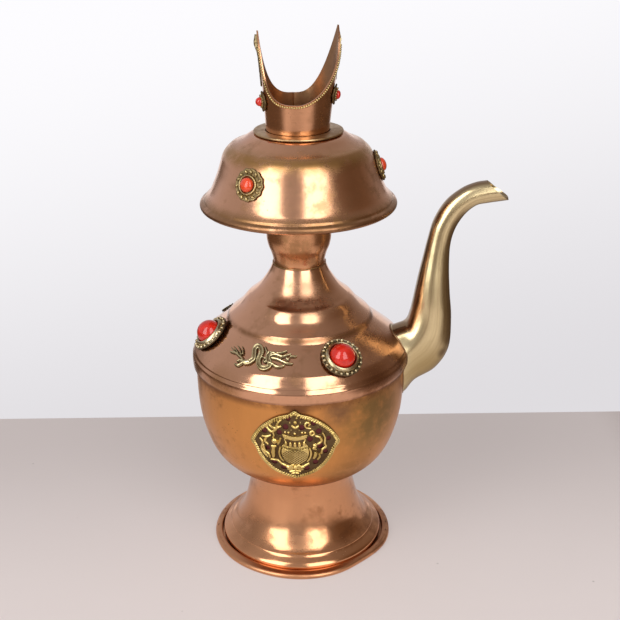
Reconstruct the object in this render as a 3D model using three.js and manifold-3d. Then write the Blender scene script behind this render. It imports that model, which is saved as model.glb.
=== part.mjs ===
// A Tibetan bumpa: a ritual ewer of spun copper with a cast brass spout, a parasol collar and
// a crescent crown that lifts out of the neck.
// Millimetres. The base stands on z = 0, the axis of the vase is Z and the spout points along +X.
// An azimuth is in degrees round the axis, from the front (-Y) towards the spout (+X).

import * as THREE from "three";
import { mergeVertices } from "three/addons/utils/BufferGeometryUtils.js";
import Module from "manifold-3d";

const wasm = await Module();
wasm.setup();

// Sizes that many pieces share
const sheet = 0.9; // spun copper sheet
const seat = 0.3; // gap between pieces that touch
const overrun = 2; // how far a cutting solid passes the face that it cuts
const shellSides = 28; // flats round the wide spun pieces
const neckSides = 20; // flats round the narrow ones
const frameSamples = 8; // places where a stiff ornament is tried against its shell

// Facets along the outlines
const plateRollSteps = 5;
const plateCoreSteps = 3;
const footSteps = 9;
const bowlSteps = 11;
const slopeSteps = 5;
const domeSteps = 4;
const flareSteps = 6;
const neckSteps = 6;
const flankSteps = 8;
const brimSteps = 6;

// Base plate, whose rolled rim traps the foot's flange
const plate = { radius: 52.6, roll: 1.7, lipReach: 2.2 };

// Foot, a spun bell
const foot = { bandRadius: 47.1, bandHeight: 8, waistRadius: 30.2, topRadius: 31.4 };
foot.bottom = sheet + seat;
const footBellShares = [
  [1, 0],
  [0.91, 0.035],
  [0.75, 0.12],
  [0.52, 0.21],
  [0.27, 0.36],
  [0.08, 0.54],
  [0, 0.74],
  [0.02, 0.88],
  [0.07, 1],
];

// Bowl, the polished lower body
const bowl = { bottom: 48.5, flatRadius: 26, radius: 59.1, top: 121.4 };
const bowlWallShares = [
  [0, 0],
  [0.2, 0.022],
  [0.39, 0.065],
  [0.62, 0.15],
  [0.755, 0.235],
  [0.85, 0.335],
  [0.93, 0.465],
  [0.978, 0.6],
  [1, 0.78],
  [1, 1],
];

// Shoulder, one spun piece from the lip to the neck seam
const shoulder = {
  lipGap: 0.8, // round the bowl
  lipOverlap: 5.8, // down over the bowl
  bulge: 0.4,
  slopeInset: 1.2, // from the lip
  slopeRise: 9.2, // above the lip's edge
  stepRadius: 41.4,
  stepRise: 25.6,
  domeRadius: 39.6,
  domeRise: 27.4,
  creaseRadius: 26.9,
  creaseRise: 40.9,
  topRadius: 14.7,
  topRise: 58.1,
};
shoulder.lipRadius = bowl.radius + sheet + shoulder.lipGap;
shoulder.lipHeight = bowl.top - shoulder.lipOverlap;
shoulder.slopeRadius = shoulder.lipRadius - shoulder.slopeInset;
shoulder.slopeHeight = shoulder.lipHeight + shoulder.slopeRise;
shoulder.stepHeight = shoulder.lipHeight + shoulder.stepRise;
shoulder.domeHeight = shoulder.lipHeight + shoulder.domeRise;
shoulder.creaseHeight = shoulder.lipHeight + shoulder.creaseRise;
shoulder.topHeight = shoulder.lipHeight + shoulder.topRise;
const shoulderGroove = { inset: 1, drop: 1 }; // inside the lip and below the slope
const lipShares = [
  [0, 0],
  [1, 0.33],
  [0.5, 0.75],
];
const slopeShares = [
  [1, 0],
  [0.82, 0.26],
  [0.55, 0.55],
  [0.3, 0.75],
  [0, 1],
];
const domeShares = [
  [1, 0],
  [0.72, 0.31],
  [0.46, 0.57],
  [0.2, 0.83],
  [0, 1],
];
const flareShares = [
  [1, 0],
  [0.62, 0.24],
  [0.36, 0.48],
  [0.14, 0.74],
  [0, 1],
];

// Neck, a sleeve whose spigot stands in the shoulder and whose bore takes the crown's stem
const neck = { spigotDepth: 5, seamRadius: 14.1, radius: 17.75, bellHeight: 16.5, brimRise: 34.5 };
const neckBellShares = [
  [0, 0],
  [0.06, 0.15],
  [0.33, 0.38],
  [0.74, 0.61],
  [0.95, 0.84],
  [1, 1],
];

// Collar, the parasol round the neck, with a rolled brim
const collar = {
  brimRadius: 53.1,
  brimRoll: 1.9,
  flankRise: 3, // all rises are above the middle of the brim's roll
  shoulderRadius: 35.6,
  shoulderRise: 31.9,
  creaseRadius: 33.2,
  creaseRise: 32.8,
  ridgeRadius: 25.7,
  ridgeRise: 37.2,
  topRise: 38,
};
collar.brimHeight = shoulder.topHeight + neck.brimRise;
collar.shoulderHeight = collar.brimHeight + collar.shoulderRise;
collar.creaseHeight = collar.brimHeight + collar.creaseRise;
collar.ridgeHeight = collar.brimHeight + collar.ridgeRise;
collar.topHeight = collar.brimHeight + collar.topRise;
const collarFlankShares = [
  [1, 0],
  [0.78, 0.115],
  [0.64, 0.27],
  [0.5, 0.46],
  [0.38, 0.66],
  [0.29, 0.81],
  [0.17, 0.91],
  [0, 1],
];

// Crown: the tube with its stem and horns, and the flange that rests on the collar
const crown = {
  stemClearance: 0.6,
  stemLength: 30,
  flangeRadius: 23.4,
  flangeThickness: 1.1,
  tubeRadius: 16.8,
  flare: 5.4,
  sway: 1.6, // the horns lean this far towards the spout
  rise: 52.4, // from the flange's top to the tips
  notchShare: 0.3034, // of the rise, to the lowest point of the cuts
};
const flangeBottom = collar.topHeight + seat;
const flangeTop = flangeBottom + crown.flangeThickness;
crown.tipHeight = flangeTop + crown.rise;
crown.notchHeight = flangeTop + crown.rise * crown.notchShare;
const crownFlarePower = 1.2;
const frontNotchDegrees = 0; // lowest point of the front cut
const backNotchDegrees = 184; // lowest point of the back cut
// The horns are cut by hand and differ: where the tip is, how steep each cut rises to it, and
// where the leaf starts, as a share of the crown's rise
const leftHorn = { tipDegrees: -90, frontPower: 3.6, backPower: 3.4, leafBottomShare: 0.43 };
const rightHorn = { tipDegrees: 114, frontPower: 1.75, backPower: 2.4, leafBottomShare: 0.48 };
const notchSteps = 10; // facets from the middle of a cut to a tip
const hornRowShares = [0.3, 0.6, 0.85, 1];

// Beaded wire along the front cut
const wire = { radius: 0.7 };
const wireSteps = 36;
const wireSides = 6;
const wireEndShare = 0.97; // of the way from the middle of the cut to the tips

// Stamped leaves on the outer faces of the horns
const leaf = { topShare: 0.857, halfWidth: 3, thickness: 0.7, ridge: 0.6 };
const leafWidthShares = [0.2, 0.62, 0.9, 1, 0.94, 0.72, 0.4, 0.1]; // from the bottom to the top

// Spout: a cast tube, lofted between its upper and its lower edge in the plane of the spout
const spout = {
  reach: 54.4,
  rise: 103,
  halfWidth: 13.5,
  wall: 1.6,
  portRadius: 6.5, // hole in the bowl behind it
  portDrop: 15.4, // from the bowl's top to the middle of that hole
};
const spoutSides = 12;
// upper edge out and up, lower edge out and up, half width
const spoutShares = [
  [-0.222, 0.164, -0.167, -0.268, 1.04],
  [-0.083, 0.186, 0.007, -0.205, 1],
  [0.017, 0.212, 0.118, -0.132, 0.93],
  [0.053, 0.266, 0.331, -0.061, 0.89],
  [0.077, 0.329, 0.465, 0.06, 0.84],
  [0.103, 0.406, 0.48, 0.237, 0.78],
  [0.131, 0.484, 0.454, 0.383, 0.69],
  [0.167, 0.577, 0.436, 0.528, 0.58],
  [0.21, 0.683, 0.439, 0.654, 0.49],
  [0.265, 0.79, 0.483, 0.747, 0.46],
  [0.375, 0.89, 0.572, 0.823, 0.46],
  [0.531, 0.958, 0.678, 0.87, 0.46],
  [0.669, 0.989, 0.789, 0.883, 0.47],
  [0.779, 1, 1, 0.896, 0.5],
];

// Large coral settings on the shoulder
const shoulderStone = {
  radius: 6.9,
  height: 6.4,
  wall: 0.9,
  cup: 2.6,
  plateRadius: 11.4,
  plateHeight: 1.6,
  rise: 19, // its middle above the shoulder's lip
};
const shoulderBeads = { height: 0.9, inset: 1.05, count: 22 };
const shoulderStoneSides = 18;
const shoulderStoneDegrees = [24, -78, 162];
const shoulderStoneHeight = shoulder.lipHeight + shoulderStone.rise;
const stoneSideShare = 0.25; // upright part of a cabochon
const stoneSteps = 3; // facets up its dome

// Small coral settings on the collar, with a scalloped edge
const collarStone = {
  radius: 3.7,
  height: 4.4,
  wall: 0.8,
  cup: 3.4,
  plateRadius: 9,
  plateHeight: 1.8,
  rise: 19.1, // its middle above the collar's brim
};
const collarBeads = { height: 1.1, inset: 1.3, count: 12 };
const collarStoneSides = 16;
const collarStoneDegrees = [-35.5, 91, 206];
const collarStoneHeight = collar.brimHeight + collarStone.rise;

// Smallest settings, on the crown tube, with plain washers
const crownStone = {
  radius: 2.2,
  height: 2.6,
  wall: 0.6,
  cup: 1.9,
  plateRadius: 5.2,
  plateHeight: 0.9,
};
const crownStoneDegrees = [-82, 88];
const crownStoneShares = [0.298, 0.345]; // heights, of the crown's rise
const crownBeads = { height: 0.2, inset: 0.5, count: 8 };
const crownStoneSides = 12;
const crownStoneNames = ["left", "right"];

// Dragons on the shoulder: strokes (centre line, widths along it, height), laid on the slope
const dragon = {
  halfLength: 19.5,
  halfHeight: 7,
  height: 1.9,
  edgeShare: 0.55, // of its height, at the edges of a stroke
  stroke: 1.5,
  rise: 20.4, // its middle above the shoulder's lip
};
const dragonDegrees = [-25, -141];
const dragonNames = ["front", "back"];
const dragonHeight = shoulder.lipHeight + dragon.rise;
const dragonStrokes = [
  {
    // body, from the head round two loops to the tail
    pathShares: [
      [0.36, 0.1],
      [0.22, 0.42],
      [0.16, -0.05],
      [0.29, -0.52],
      [0.17, -0.82],
      [0.0, -0.66],
      [-0.09, -0.2],
      [-0.07, 0.38],
      [-0.15, 0.8],
      [-0.26, 0.94],
      [-0.34, 0.68],
      [-0.32, 0.1],
      [-0.41, -0.46],
      [-0.57, -0.4],
    ],
    widthShares: [1, 0.95, 1, 1.1, 1.1, 1, 1, 1, 1, 1, 0.95, 0.9, 0.8, 0.6],
    heightShare: 1,
  },
  {
    // skull and upper jaw
    pathShares: [
      [0.2, 0.24],
      [0.4, 0.32],
      [0.6, 0.3],
      [0.78, 0.44],
      [0.93, 0.3],
    ],
    widthShares: [0.7, 1.1, 1, 0.8, 0.35],
    heightShare: 0.86,
  },
  {
    // lower jaw
    pathShares: [
      [0.26, 0.02],
      [0.48, -0.02],
      [0.7, -0.24],
      [0.91, -0.32],
    ],
    widthShares: [0.8, 0.8, 0.7, 0.3],
    heightShare: 0.72,
  },
  {
    // horn swept over the head
    pathShares: [
      [0.16, 0.5],
      [0.44, 0.62],
      [0.66, 0.8],
    ],
    widthShares: [0.7, 0.6, 0.3],
    heightShare: 0.6,
  },
  {
    // fore leg under the jaw
    pathShares: [
      [0.22, -0.34],
      [0.42, -0.58],
      [0.62, -0.56],
      [0.79, -0.4],
    ],
    widthShares: [0.9, 0.8, 0.7, 0.35],
    heightShare: 0.66,
  },
  {
    // hind leg
    pathShares: [
      [-0.42, -0.4],
      [-0.56, -0.84],
      [-0.69, -1],
    ],
    widthShares: [0.9, 0.8, 0.4],
    heightShare: 0.66,
  },
  {
    // tail
    pathShares: [
      [-0.5, -0.46],
      [-0.62, -0.3],
      [-0.82, -0.16],
      [-1, -0.3],
    ],
    widthShares: [0.8, 0.8, 0.6, 0.25],
    heightShare: 0.76,
  },
  {
    // plumes of the tail
    pathShares: [
      [-0.72, -0.2],
      [-0.9, 0.06],
      [-0.98, 0.36],
    ],
    widthShares: [0.7, 0.6, 0.25],
    heightShare: 0.56,
  },
  {
    pathShares: [
      [-0.66, -0.2],
      [-0.74, 0.12],
      [-0.67, 0.56],
    ],
    widthShares: [0.7, 0.6, 0.25],
    heightShare: 0.5,
  },
];

// Plaque on the bowl: a cusped plate, pierced, with a corded border and a treasure vase
const plaque = {
  halfWidth: 24.1,
  halfHeight: 23.1,
  thickness: 0.7,
  border: 1.5,
  borderHeight: 0.9,
  relief: 1.1,
  root: 0.25,
  pierceRadius: 1.55,
  lipGap: 3, // below the shoulder's lip
  stroke: 0.85,
};
plaque.height = shoulder.lipHeight - plaque.lipGap - plaque.halfHeight;
const plaqueDegrees = -3.3;
const plaqueFieldShares = [0.66, 0.36]; // rings inside the border
const borderCrestShare = 0.4; // of the border's width, from the outer edge
const pierceSides = 6;
const plaqueUpperShares = [
  [1, 0.14],
  [0.88, 0.38],
  [0.74, 0.56],
  [0.54, 0.73],
  [0.33, 0.85],
  [0.13, 0.91],
  [0, 1],
];
const plaqueLowerShares = [
  [0, -1],
  [0.16, -0.93],
  [0.36, -0.83],
  [0.53, -0.7],
  [0.69, -0.5],
  [0.82, -0.27],
  [0.9, -0.04],
];
const piercingShares = [
  [-0.14, 0.76],
  [0.2, 0.75],
  [-0.2, 0.53],
  [0.2, 0.53],
  [0.46, 0.6],
  [0.6, 0.38],
  [0.8, 0.14],
  [0.38, 0.22],
  [0.57, 0],
  [0.72, -0.19],
  [0.47, -0.47],
  [0.27, -0.7],
  [-0.27, -0.68],
  [-0.47, -0.49],
  [-0.62, -0.09],
  [-0.68, 0.36],
  [-0.36, 0.38],
  [-0.44, 0.13],
];
const reliefVaseShares = [
  [0, -0.52],
  [0.13, -0.49],
  [0.25, -0.35],
  [0.32, -0.12],
  [0.3, 0.02],
  [0.22, 0.1],
  [0.23, 0.28],
  [0.3, 0.36],
  [0.28, 0.43],
  [0, 0.45],
];
const reliefJewelShares = [
  [0, 0.5],
  [0.1, 0.56],
  [0.08, 0.66],
  [0, 0.83],
];
const reliefLotusShares = [
  [0, -0.8],
  [0.1, -0.72],
  [0.32, -0.6],
  [0.3, -0.53],
  [0.16, -0.57],
  [0, -0.56],
];
const pillowInsetShare = 0.3; // how far a pillow's top draws in
const reliefRibbonShares = [
  [
    [0.31, 0.4],
    [0.38, 0.46],
    [0.45, 0.4],
    [0.56, 0.2],
    [0.7, 0.04],
  ],
  [
    [0.56, -0.2],
    [0.63, -0.32],
    [0.62, -0.46],
  ],
];

// Finishes
const copper = new THREE.MeshStandardMaterial({ color: 0xb87a5a, roughness: 0.28, metalness: 1 });
const bowlCopper = new THREE.MeshStandardMaterial({ color: 0xb9783f, roughness: 0.25, metalness: 1 });
const brass = new THREE.MeshStandardMaterial({ color: 0xa08a55, roughness: 0.35, metalness: 1 });
const coral = new THREE.MeshStandardMaterial({ color: 0xd8322a, roughness: 0.25, metalness: 0 });

const part = new THREE.Group();

function addMesh(name, geometry, material, parent = part) {
  const mesh = new THREE.Mesh(geometry, material.clone());
  mesh.name = name;
  parent.add(mesh);
  return mesh;
}

// Closed geometry with shared vertices and without collapsed triangles
function weld(geometry) {
  const bare = geometry.index ? geometry : geometry.clone();
  for (const name of ["normal", "uv"]) bare.deleteAttribute(name);
  const merged = mergeVertices(bare);
  const index = merged.index.array;
  const kept = [];
  for (let i = 0; i < index.length; i += 3) {
    const [a, b, c] = index.slice(i, i + 3);
    if (a !== b && b !== c && c !== a) kept.push(a, b, c);
  }
  merged.setIndex(kept);
  return merged;
}

function toSolid(geometry) {
  const welded = weld(geometry);
  return new wasm.Manifold(
    new wasm.Mesh({
      numProp: 3,
      vertProperties: new Float32Array(welded.attributes.position.array),
      triVerts: new Uint32Array(welded.index.array),
    }),
  );
}

function toGeometry(solid) {
  const mesh = solid.getMesh();
  const geometry = new THREE.BufferGeometry();
  geometry.setAttribute("position", new THREE.BufferAttribute(mesh.vertProperties, 3));
  geometry.setIndex(new THREE.BufferAttribute(mesh.triVerts, 1));
  geometry.computeVertexNormals();
  return geometry;
}

const vector = (x, y) => new THREE.Vector2(x, y);

// A smooth stretch of outline between two corners, from shares of the way between them
function stretch(shares, radiusZero, radiusOne, heightZero, heightOne, steps) {
  const points = shares.map(([across, up]) =>
    vector(radiusZero + (radiusOne - radiusZero) * across, heightZero + (heightOne - heightZero) * up),
  );
  return new THREE.SplineCurve(points).getSpacedPoints(steps);
}

// Points on a round stretch of outline, between two angles in degrees
function arc(radius, height, size, fromDegrees, toDegrees, steps) {
  const points = [];
  for (let i = 0; i <= steps; i++) {
    const angle = THREE.MathUtils.degToRad(fromDegrees + ((toDegrees - fromDegrees) * i) / steps);
    points.push(vector(radius + size * Math.cos(angle), height + size * Math.sin(angle)));
  }
  return points;
}

function outwardNormals(points) {
  return points.map((point, i) => {
    const before = points[Math.max(i - 1, 0)];
    const after = points[Math.min(i + 1, points.length - 1)];
    const inStep = point.clone().sub(before).normalize();
    const outStep = after.clone().sub(point).normalize();
    const way = inStep.add(outStep).normalize();
    return vector(way.y, -way.x);
  });
}

// The same outline, moved away from the axis by a distance (towards it when negative)
function offset(points, distance) {
  const normals = outwardNormals(points);
  return points.map((point, i) => {
    const next = points[Math.min(i + 1, points.length - 1)];
    const from = next === point ? points[i - 1] : point;
    const step = next.clone().sub(from).normalize();
    const square = normals[i].x * step.y - normals[i].y * step.x;
    return point.clone().addScaledVector(normals[i], distance / square);
  });
}

// The hidden inner face of a shell, going back down, with every second point of the outer face
function inside(points) {
  const last = points.length - 1;
  return offset(points, -sheet)
    .filter((point, i) => i === 0 || i === last || (last - i) % 2 === 0)
    .reverse();
}

// A solid of revolution round Z from a closed outline of (radius, height) points, outside going up
function spin(outline, sides) {
  const onAxis = outline[0].x === 0;
  const ring = onAxis ? outline : [...outline, outline[0]];
  const geometry = new THREE.LatheGeometry(ring, sides);
  geometry.rotateX(Math.PI / 2);
  return weld(geometry);
}

// A closed sheet of rings with equal numbers of points, whose last ring joins the first
function ringLoft(rings) {
  const sides = rings[0].length;
  const index = [];
  rings.forEach((ring, k) => {
    const here = k * sides;
    const above = ((k + 1) % rings.length) * sides;
    for (let j = 0; j < sides; j++) {
      const next = (j + 1) % sides;
      index.push(here + j, here + next, above + next);
      index.push(here + j, above + next, above + j);
    }
  });
  const geometry = new THREE.BufferGeometry().setFromPoints(rings.flat());
  geometry.setIndex(index);
  return geometry;
}

// Like ringLoft, but the first and the last ring are closed by caps
function cappedLoft(rings) {
  const sides = rings[0].length;
  const geometry = ringLoft(rings);
  const open = Array.from(geometry.index.array).slice(0, (rings.length - 1) * sides * 6);
  const last = (rings.length - 1) * sides;
  for (let j = 1; j < sides - 1; j++) {
    open.push(0, j + 1, j);
    open.push(last, last + j, last + j + 1);
  }
  geometry.setIndex(open);
  return geometry;
}

// The height of a rising outline at a radius
function heightAt(points, radius) {
  for (let i = 1; i < points.length; i++) {
    const a = points[i - 1];
    const b = points[i];
    if ((a.x - radius) * (b.x - radius) <= 0 && a.x !== b.x) {
      return a.y + ((b.y - a.y) * (radius - a.x)) / (b.x - a.x);
    }
  }
  return points[points.length - 1].y;
}

// Where a curved ornament lies: a spun outline, a height on it and an azimuth.
// place() lays a flat point (along the circle, up the outline, off the surface) on the shell.
class Seat {
  constructor(outline, height, degrees) {
    this.points = outline;
    this.normals = outwardNormals(outline);
    this.lengths = [0];
    for (let i = 1; i < outline.length; i++) {
      this.lengths.push(this.lengths[i - 1] + outline[i].distanceTo(outline[i - 1]));
    }
    this.start = this.lengthAt(height);
    this.azimuth = THREE.MathUtils.degToRad(degrees);
  }

  lengthAt(height) {
    const i = this.points.findIndex((point) => point.y > height);
    const a = this.points[i - 1];
    const b = this.points[i];
    return this.lengths[i - 1] + (b.distanceTo(a) * (height - a.y)) / (b.y - a.y);
  }

  place({ x, y, z }) {
    const length = this.start + y;
    let i = this.lengths.findIndex((reached) => reached > length);
    if (i < 1) i = i === 0 ? 1 : this.points.length - 1;
    const share = (length - this.lengths[i - 1]) / (this.lengths[i] - this.lengths[i - 1]);
    const point = this.points[i - 1].clone().lerp(this.points[i], share);
    const normal = this.normals[i - 1].clone().lerp(this.normals[i], share).normalize();
    const azimuth = this.azimuth + x / point.x;
    const radius = point.x + normal.x * (z + seat);
    const height = point.y + normal.y * (z + seat);
    return new THREE.Vector3(radius * Math.sin(azimuth), -radius * Math.cos(azimuth), height);
  }

  lay(geometry) {
    const position = geometry.attributes.position;
    const point = new THREE.Vector3();
    for (let i = 0; i < position.count; i++) {
      const placed = this.place(point.fromBufferAttribute(position, i));
      position.setXYZ(i, placed.x, placed.y, placed.z);
    }
    geometry.computeVertexNormals();
    return geometry;
  }

  // A group whose +Z stands on the surface here, for a stiff ornament that reaches so far each way:
  // it is lifted to clear the shell along its whole length
  frame(reach) {
    const along = new THREE.Vector3(Math.cos(this.azimuth), Math.sin(this.azimuth), 0);
    const underfoot = [];
    for (let i = 0; i <= frameSamples; i++) {
      underfoot.push(this.place({ x: 0, y: reach * ((2 * i) / frameSamples - 1), z: 0 }));
    }
    const up = underfoot[frameSamples].clone().sub(underfoot[0]).normalize();
    const out = along.clone().cross(up);
    const middle = underfoot[frameSamples / 2];
    const lift = Math.max(...underfoot.map((point) => point.clone().sub(middle).dot(out)));
    const group = new THREE.Group();
    group.position.copy(middle).addScaledVector(out, lift);
    group.quaternion.setFromRotationMatrix(new THREE.Matrix4().makeBasis(along, up, out));
    part.add(group);
    return group;
  }
}

// Outlines of the spun shells, outer faces, from the bottom up
const footBand = [
  vector(foot.bandRadius, foot.bottom + sheet),
  vector(foot.bandRadius, foot.bandHeight),
];
const bowlWall = stretch(bowlWallShares, bowl.flatRadius, bowl.radius, bowl.bottom, bowl.top, bowlSteps);
const bowlOutline = [vector(0, bowl.bottom), ...bowlWall];
const footTopHeight = heightAt(bowlWall, foot.topRadius - sheet) - seat;
const footBell = stretch(
  footBellShares,
  foot.waistRadius,
  foot.bandRadius,
  foot.bandHeight,
  footTopHeight,
  footSteps,
);
const grooveRise = shoulder.slopeRise - shoulderGroove.drop;
const shoulderLip = [
  ...lipShares.map(([bulge, up]) =>
    vector(shoulder.lipRadius + shoulder.bulge * bulge, shoulder.lipHeight + grooveRise * up),
  ),
  vector(shoulder.lipRadius - shoulderGroove.inset, shoulder.slopeHeight - shoulderGroove.drop),
];
const shoulderSlope = stretch(
  slopeShares,
  shoulder.stepRadius,
  shoulder.slopeRadius,
  shoulder.slopeHeight,
  shoulder.stepHeight,
  slopeSteps,
);
const shoulderDome = stretch(
  domeShares,
  shoulder.creaseRadius,
  shoulder.domeRadius,
  shoulder.domeHeight,
  shoulder.creaseHeight,
  domeSteps,
);
const shoulderFlare = stretch(
  flareShares,
  shoulder.topRadius,
  shoulder.creaseRadius,
  shoulder.creaseHeight,
  shoulder.topHeight,
  flareSteps,
);
const neckBottom = shoulder.topHeight + seat;
const neckBell = stretch(
  neckBellShares,
  neck.seamRadius,
  neck.radius,
  neckBottom,
  neckBottom + neck.bellHeight,
  neckSteps,
);

function buildBasePlate() {
  const rollRadius = plate.radius - plate.roll;
  const lipRadius = rollRadius - plate.lipReach;
  const outline = [
    vector(0, 0),
    ...arc(rollRadius, plate.roll, plate.roll, -90, 90, plateRollSteps),
    vector(lipRadius, plate.roll * 2),
    vector(lipRadius, plate.roll * 2 - sheet),
    ...arc(rollRadius, plate.roll, plate.roll - sheet, 90, -90, plateCoreSteps),
    vector(0, sheet),
  ];
  addMesh("base_plate", spin(outline, shellSides), copper);
}

function buildFoot() {
  const flangeRadius = plate.radius - plate.roll;
  const outer = [...footBand, ...footBell.slice(1)];
  const inner = inside(outer);
  const outline = [
    vector(foot.bandRadius - sheet, foot.bottom),
    vector(flangeRadius, foot.bottom),
    vector(flangeRadius, foot.bottom + sheet),
    ...outer.slice(0, -1),
    vector(foot.topRadius, footTopHeight),
    vector(foot.topRadius - sheet, footTopHeight),
    ...inner.slice(1, -1),
  ];
  addMesh("foot", spin(outline, shellSides), copper);
}

function buildBowl() {
  const inner = inside(bowlOutline);
  const shell = toSolid(spin([...bowlOutline, ...inner], shellSides));
  const port = new THREE.CylinderGeometry(spout.portRadius, spout.portRadius, spout.reach, spoutSides);
  port.rotateZ(Math.PI / 2);
  port.translate(bowl.radius, 0, bowl.top - spout.portDrop);
  addMesh("bowl", toGeometry(shell.subtract(toSolid(port))), bowlCopper);
}

function buildShoulder() {
  const outline = [
    ...shoulderLip,
    ...shoulderSlope,
    ...shoulderDome,
    ...shoulderFlare.slice(1),
    ...inside(shoulderFlare).slice(0, -1),
    ...inside(shoulderDome),
    ...inside(shoulderSlope),
    ...offset(shoulderLip, -sheet).reverse().slice(1),
  ];
  addMesh("shoulder", spin(outline, shellSides), copper);
}

function buildNeck() {
  const spigotRadius = shoulder.topRadius - sheet - seat;
  const collarTop = collar.topHeight;
  const outer = [
    vector(spigotRadius, neckBottom - neck.spigotDepth),
    vector(spigotRadius, neckBottom),
    ...neckBell,
    vector(neck.radius, collarTop),
  ];
  const bore = offset([...neckBell, vector(neck.radius, collarTop)], -sheet).slice(2).reverse();
  const inner = [
    ...bore,
    vector(spigotRadius - sheet, neckBottom + sheet),
    vector(spigotRadius - sheet, neckBottom - neck.spigotDepth),
  ];
  addMesh("neck", spin([...outer, ...inner], neckSides), copper);
}

function collarOutline() {
  const rollRadius = collar.brimRadius - collar.brimRoll;
  const rollTop = arc(rollRadius, collar.brimHeight, collar.brimRoll, -180, 60, brimSteps);
  const flank = stretch(
    collarFlankShares,
    collar.shoulderRadius,
    rollRadius,
    collar.brimHeight + collar.flankRise,
    collar.shoulderHeight,
    flankSteps,
  );
  const holeRadius = neck.radius + seat;
  const top = [
    vector(collar.creaseRadius, collar.creaseHeight),
    vector(collar.ridgeRadius, collar.ridgeHeight),
    vector(crown.flangeRadius, collar.topHeight),
    vector(holeRadius, collar.topHeight),
  ];
  const outer = [...flank, ...top];
  const inner = inside(outer);
  inner[0].x = holeRadius;
  return { flank, outline: [...rollTop, ...outer, ...inner] };
}

// Radius of the crown tube at a height: straight to the flange, then flaring to the tips
function crownRadius(height) {
  const share = Math.max((height - flangeTop) / (crown.tipHeight - flangeTop), 0);
  return crown.tubeRadius + crown.flare * share ** crownFlarePower;
}

// How far the horns have leaned at a height
function crownSway(height) {
  return crown.sway * Math.max((height - flangeTop) / (crown.tipHeight - flangeTop), 0);
}

// A point on the crown's cut: the cuts run from a tip (share 1) to their middle (share 0)
function cutPoint(horn, isFront, share) {
  const middle = isFront ? frontNotchDegrees : backNotchDegrees;
  const tip = !isFront && horn === leftHorn ? horn.tipDegrees + 360 : horn.tipDegrees;
  const power = isFront ? horn.frontPower : horn.backPower;
  return {
    degrees: middle + (tip - middle) * share,
    height: crown.notchHeight + (crown.tipHeight - crown.notchHeight) * share ** power,
  };
}

function crownPoint(degrees, radius, height) {
  const azimuth = THREE.MathUtils.degToRad(degrees);
  const x = radius * Math.sin(azimuth) + crownSway(height);
  return new THREE.Vector3(x, -radius * Math.cos(azimuth), height);
}

// The rim of the crown, once round from the left tip by the front
function crownRim() {
  const rim = [];
  for (const [horn, isFront, rising] of [
    [leftHorn, true, false],
    [rightHorn, true, true],
    [rightHorn, false, false],
    [leftHorn, false, true],
  ]) {
    for (let i = 0; i < notchSteps; i++) {
      const share = i / notchSteps;
      rim.push(cutPoint(horn, isFront, rising ? share : 1 - share));
    }
  }
  return rim;
}

function buildCrownTube() {
  const rim = crownRim();
  const stemRadius = neck.radius - sheet - crown.stemClearance;
  const stemBottom = flangeBottom - crown.stemLength;
  const rings = (wall) => {
    const plain = [
      [stemRadius, stemBottom],
      [stemRadius, flangeBottom - seat],
      [crown.tubeRadius, flangeTop],
    ];
    const lower = plain.map(([radius, height]) =>
      rim.map(({ degrees }) => crownPoint(degrees, radius - wall, height)),
    );
    const upper = hornRowShares.map((share) =>
      rim.map(({ degrees, height: top }) => {
        const height = flangeTop + (top - flangeTop) * share;
        return crownPoint(degrees, crownRadius(height) - wall, height);
      }),
    );
    return [...lower, ...upper];
  };
  const tube = ringLoft([...rings(0), ...rings(sheet).reverse()]);
  addMesh("crown_tube", weld(tube), copper);
}

function buildCrownFlange() {
  const holeRadius = crown.tubeRadius + seat;
  const outline = [
    vector(holeRadius, flangeBottom),
    vector(crown.flangeRadius, flangeBottom),
    vector(crown.flangeRadius, flangeTop),
    vector(holeRadius, flangeTop),
  ];
  addMesh("crown_flange", spin(outline, shellSides), brass);
}

// The beaded wire follows the front cut just outside the tube
class RimCurve extends THREE.Curve {
  getPoint(share, target = new THREE.Vector3()) {
    const side = 2 * share - 1;
    const at = cutPoint(side < 0 ? leftHorn : rightHorn, true, Math.abs(side) * wireEndShare);
    const radius = crownRadius(at.height) + wire.radius + seat;
    return target.copy(crownPoint(at.degrees, radius, at.height));
  }
}

function circleShape(radius, sides) {
  const points = [];
  for (let i = 0; i < sides; i++) {
    const angle = (2 * Math.PI * i) / sides;
    points.push(vector(radius * Math.cos(angle), radius * Math.sin(angle)));
  }
  return new THREE.Shape(points);
}

function buildCrownWire() {
  const geometry = new THREE.ExtrudeGeometry(circleShape(wire.radius, wireSides), {
    steps: wireSteps,
    extrudePath: new RimCurve(),
  });
  addMesh("crown_wire", weld(geometry), brass);
}

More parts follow.
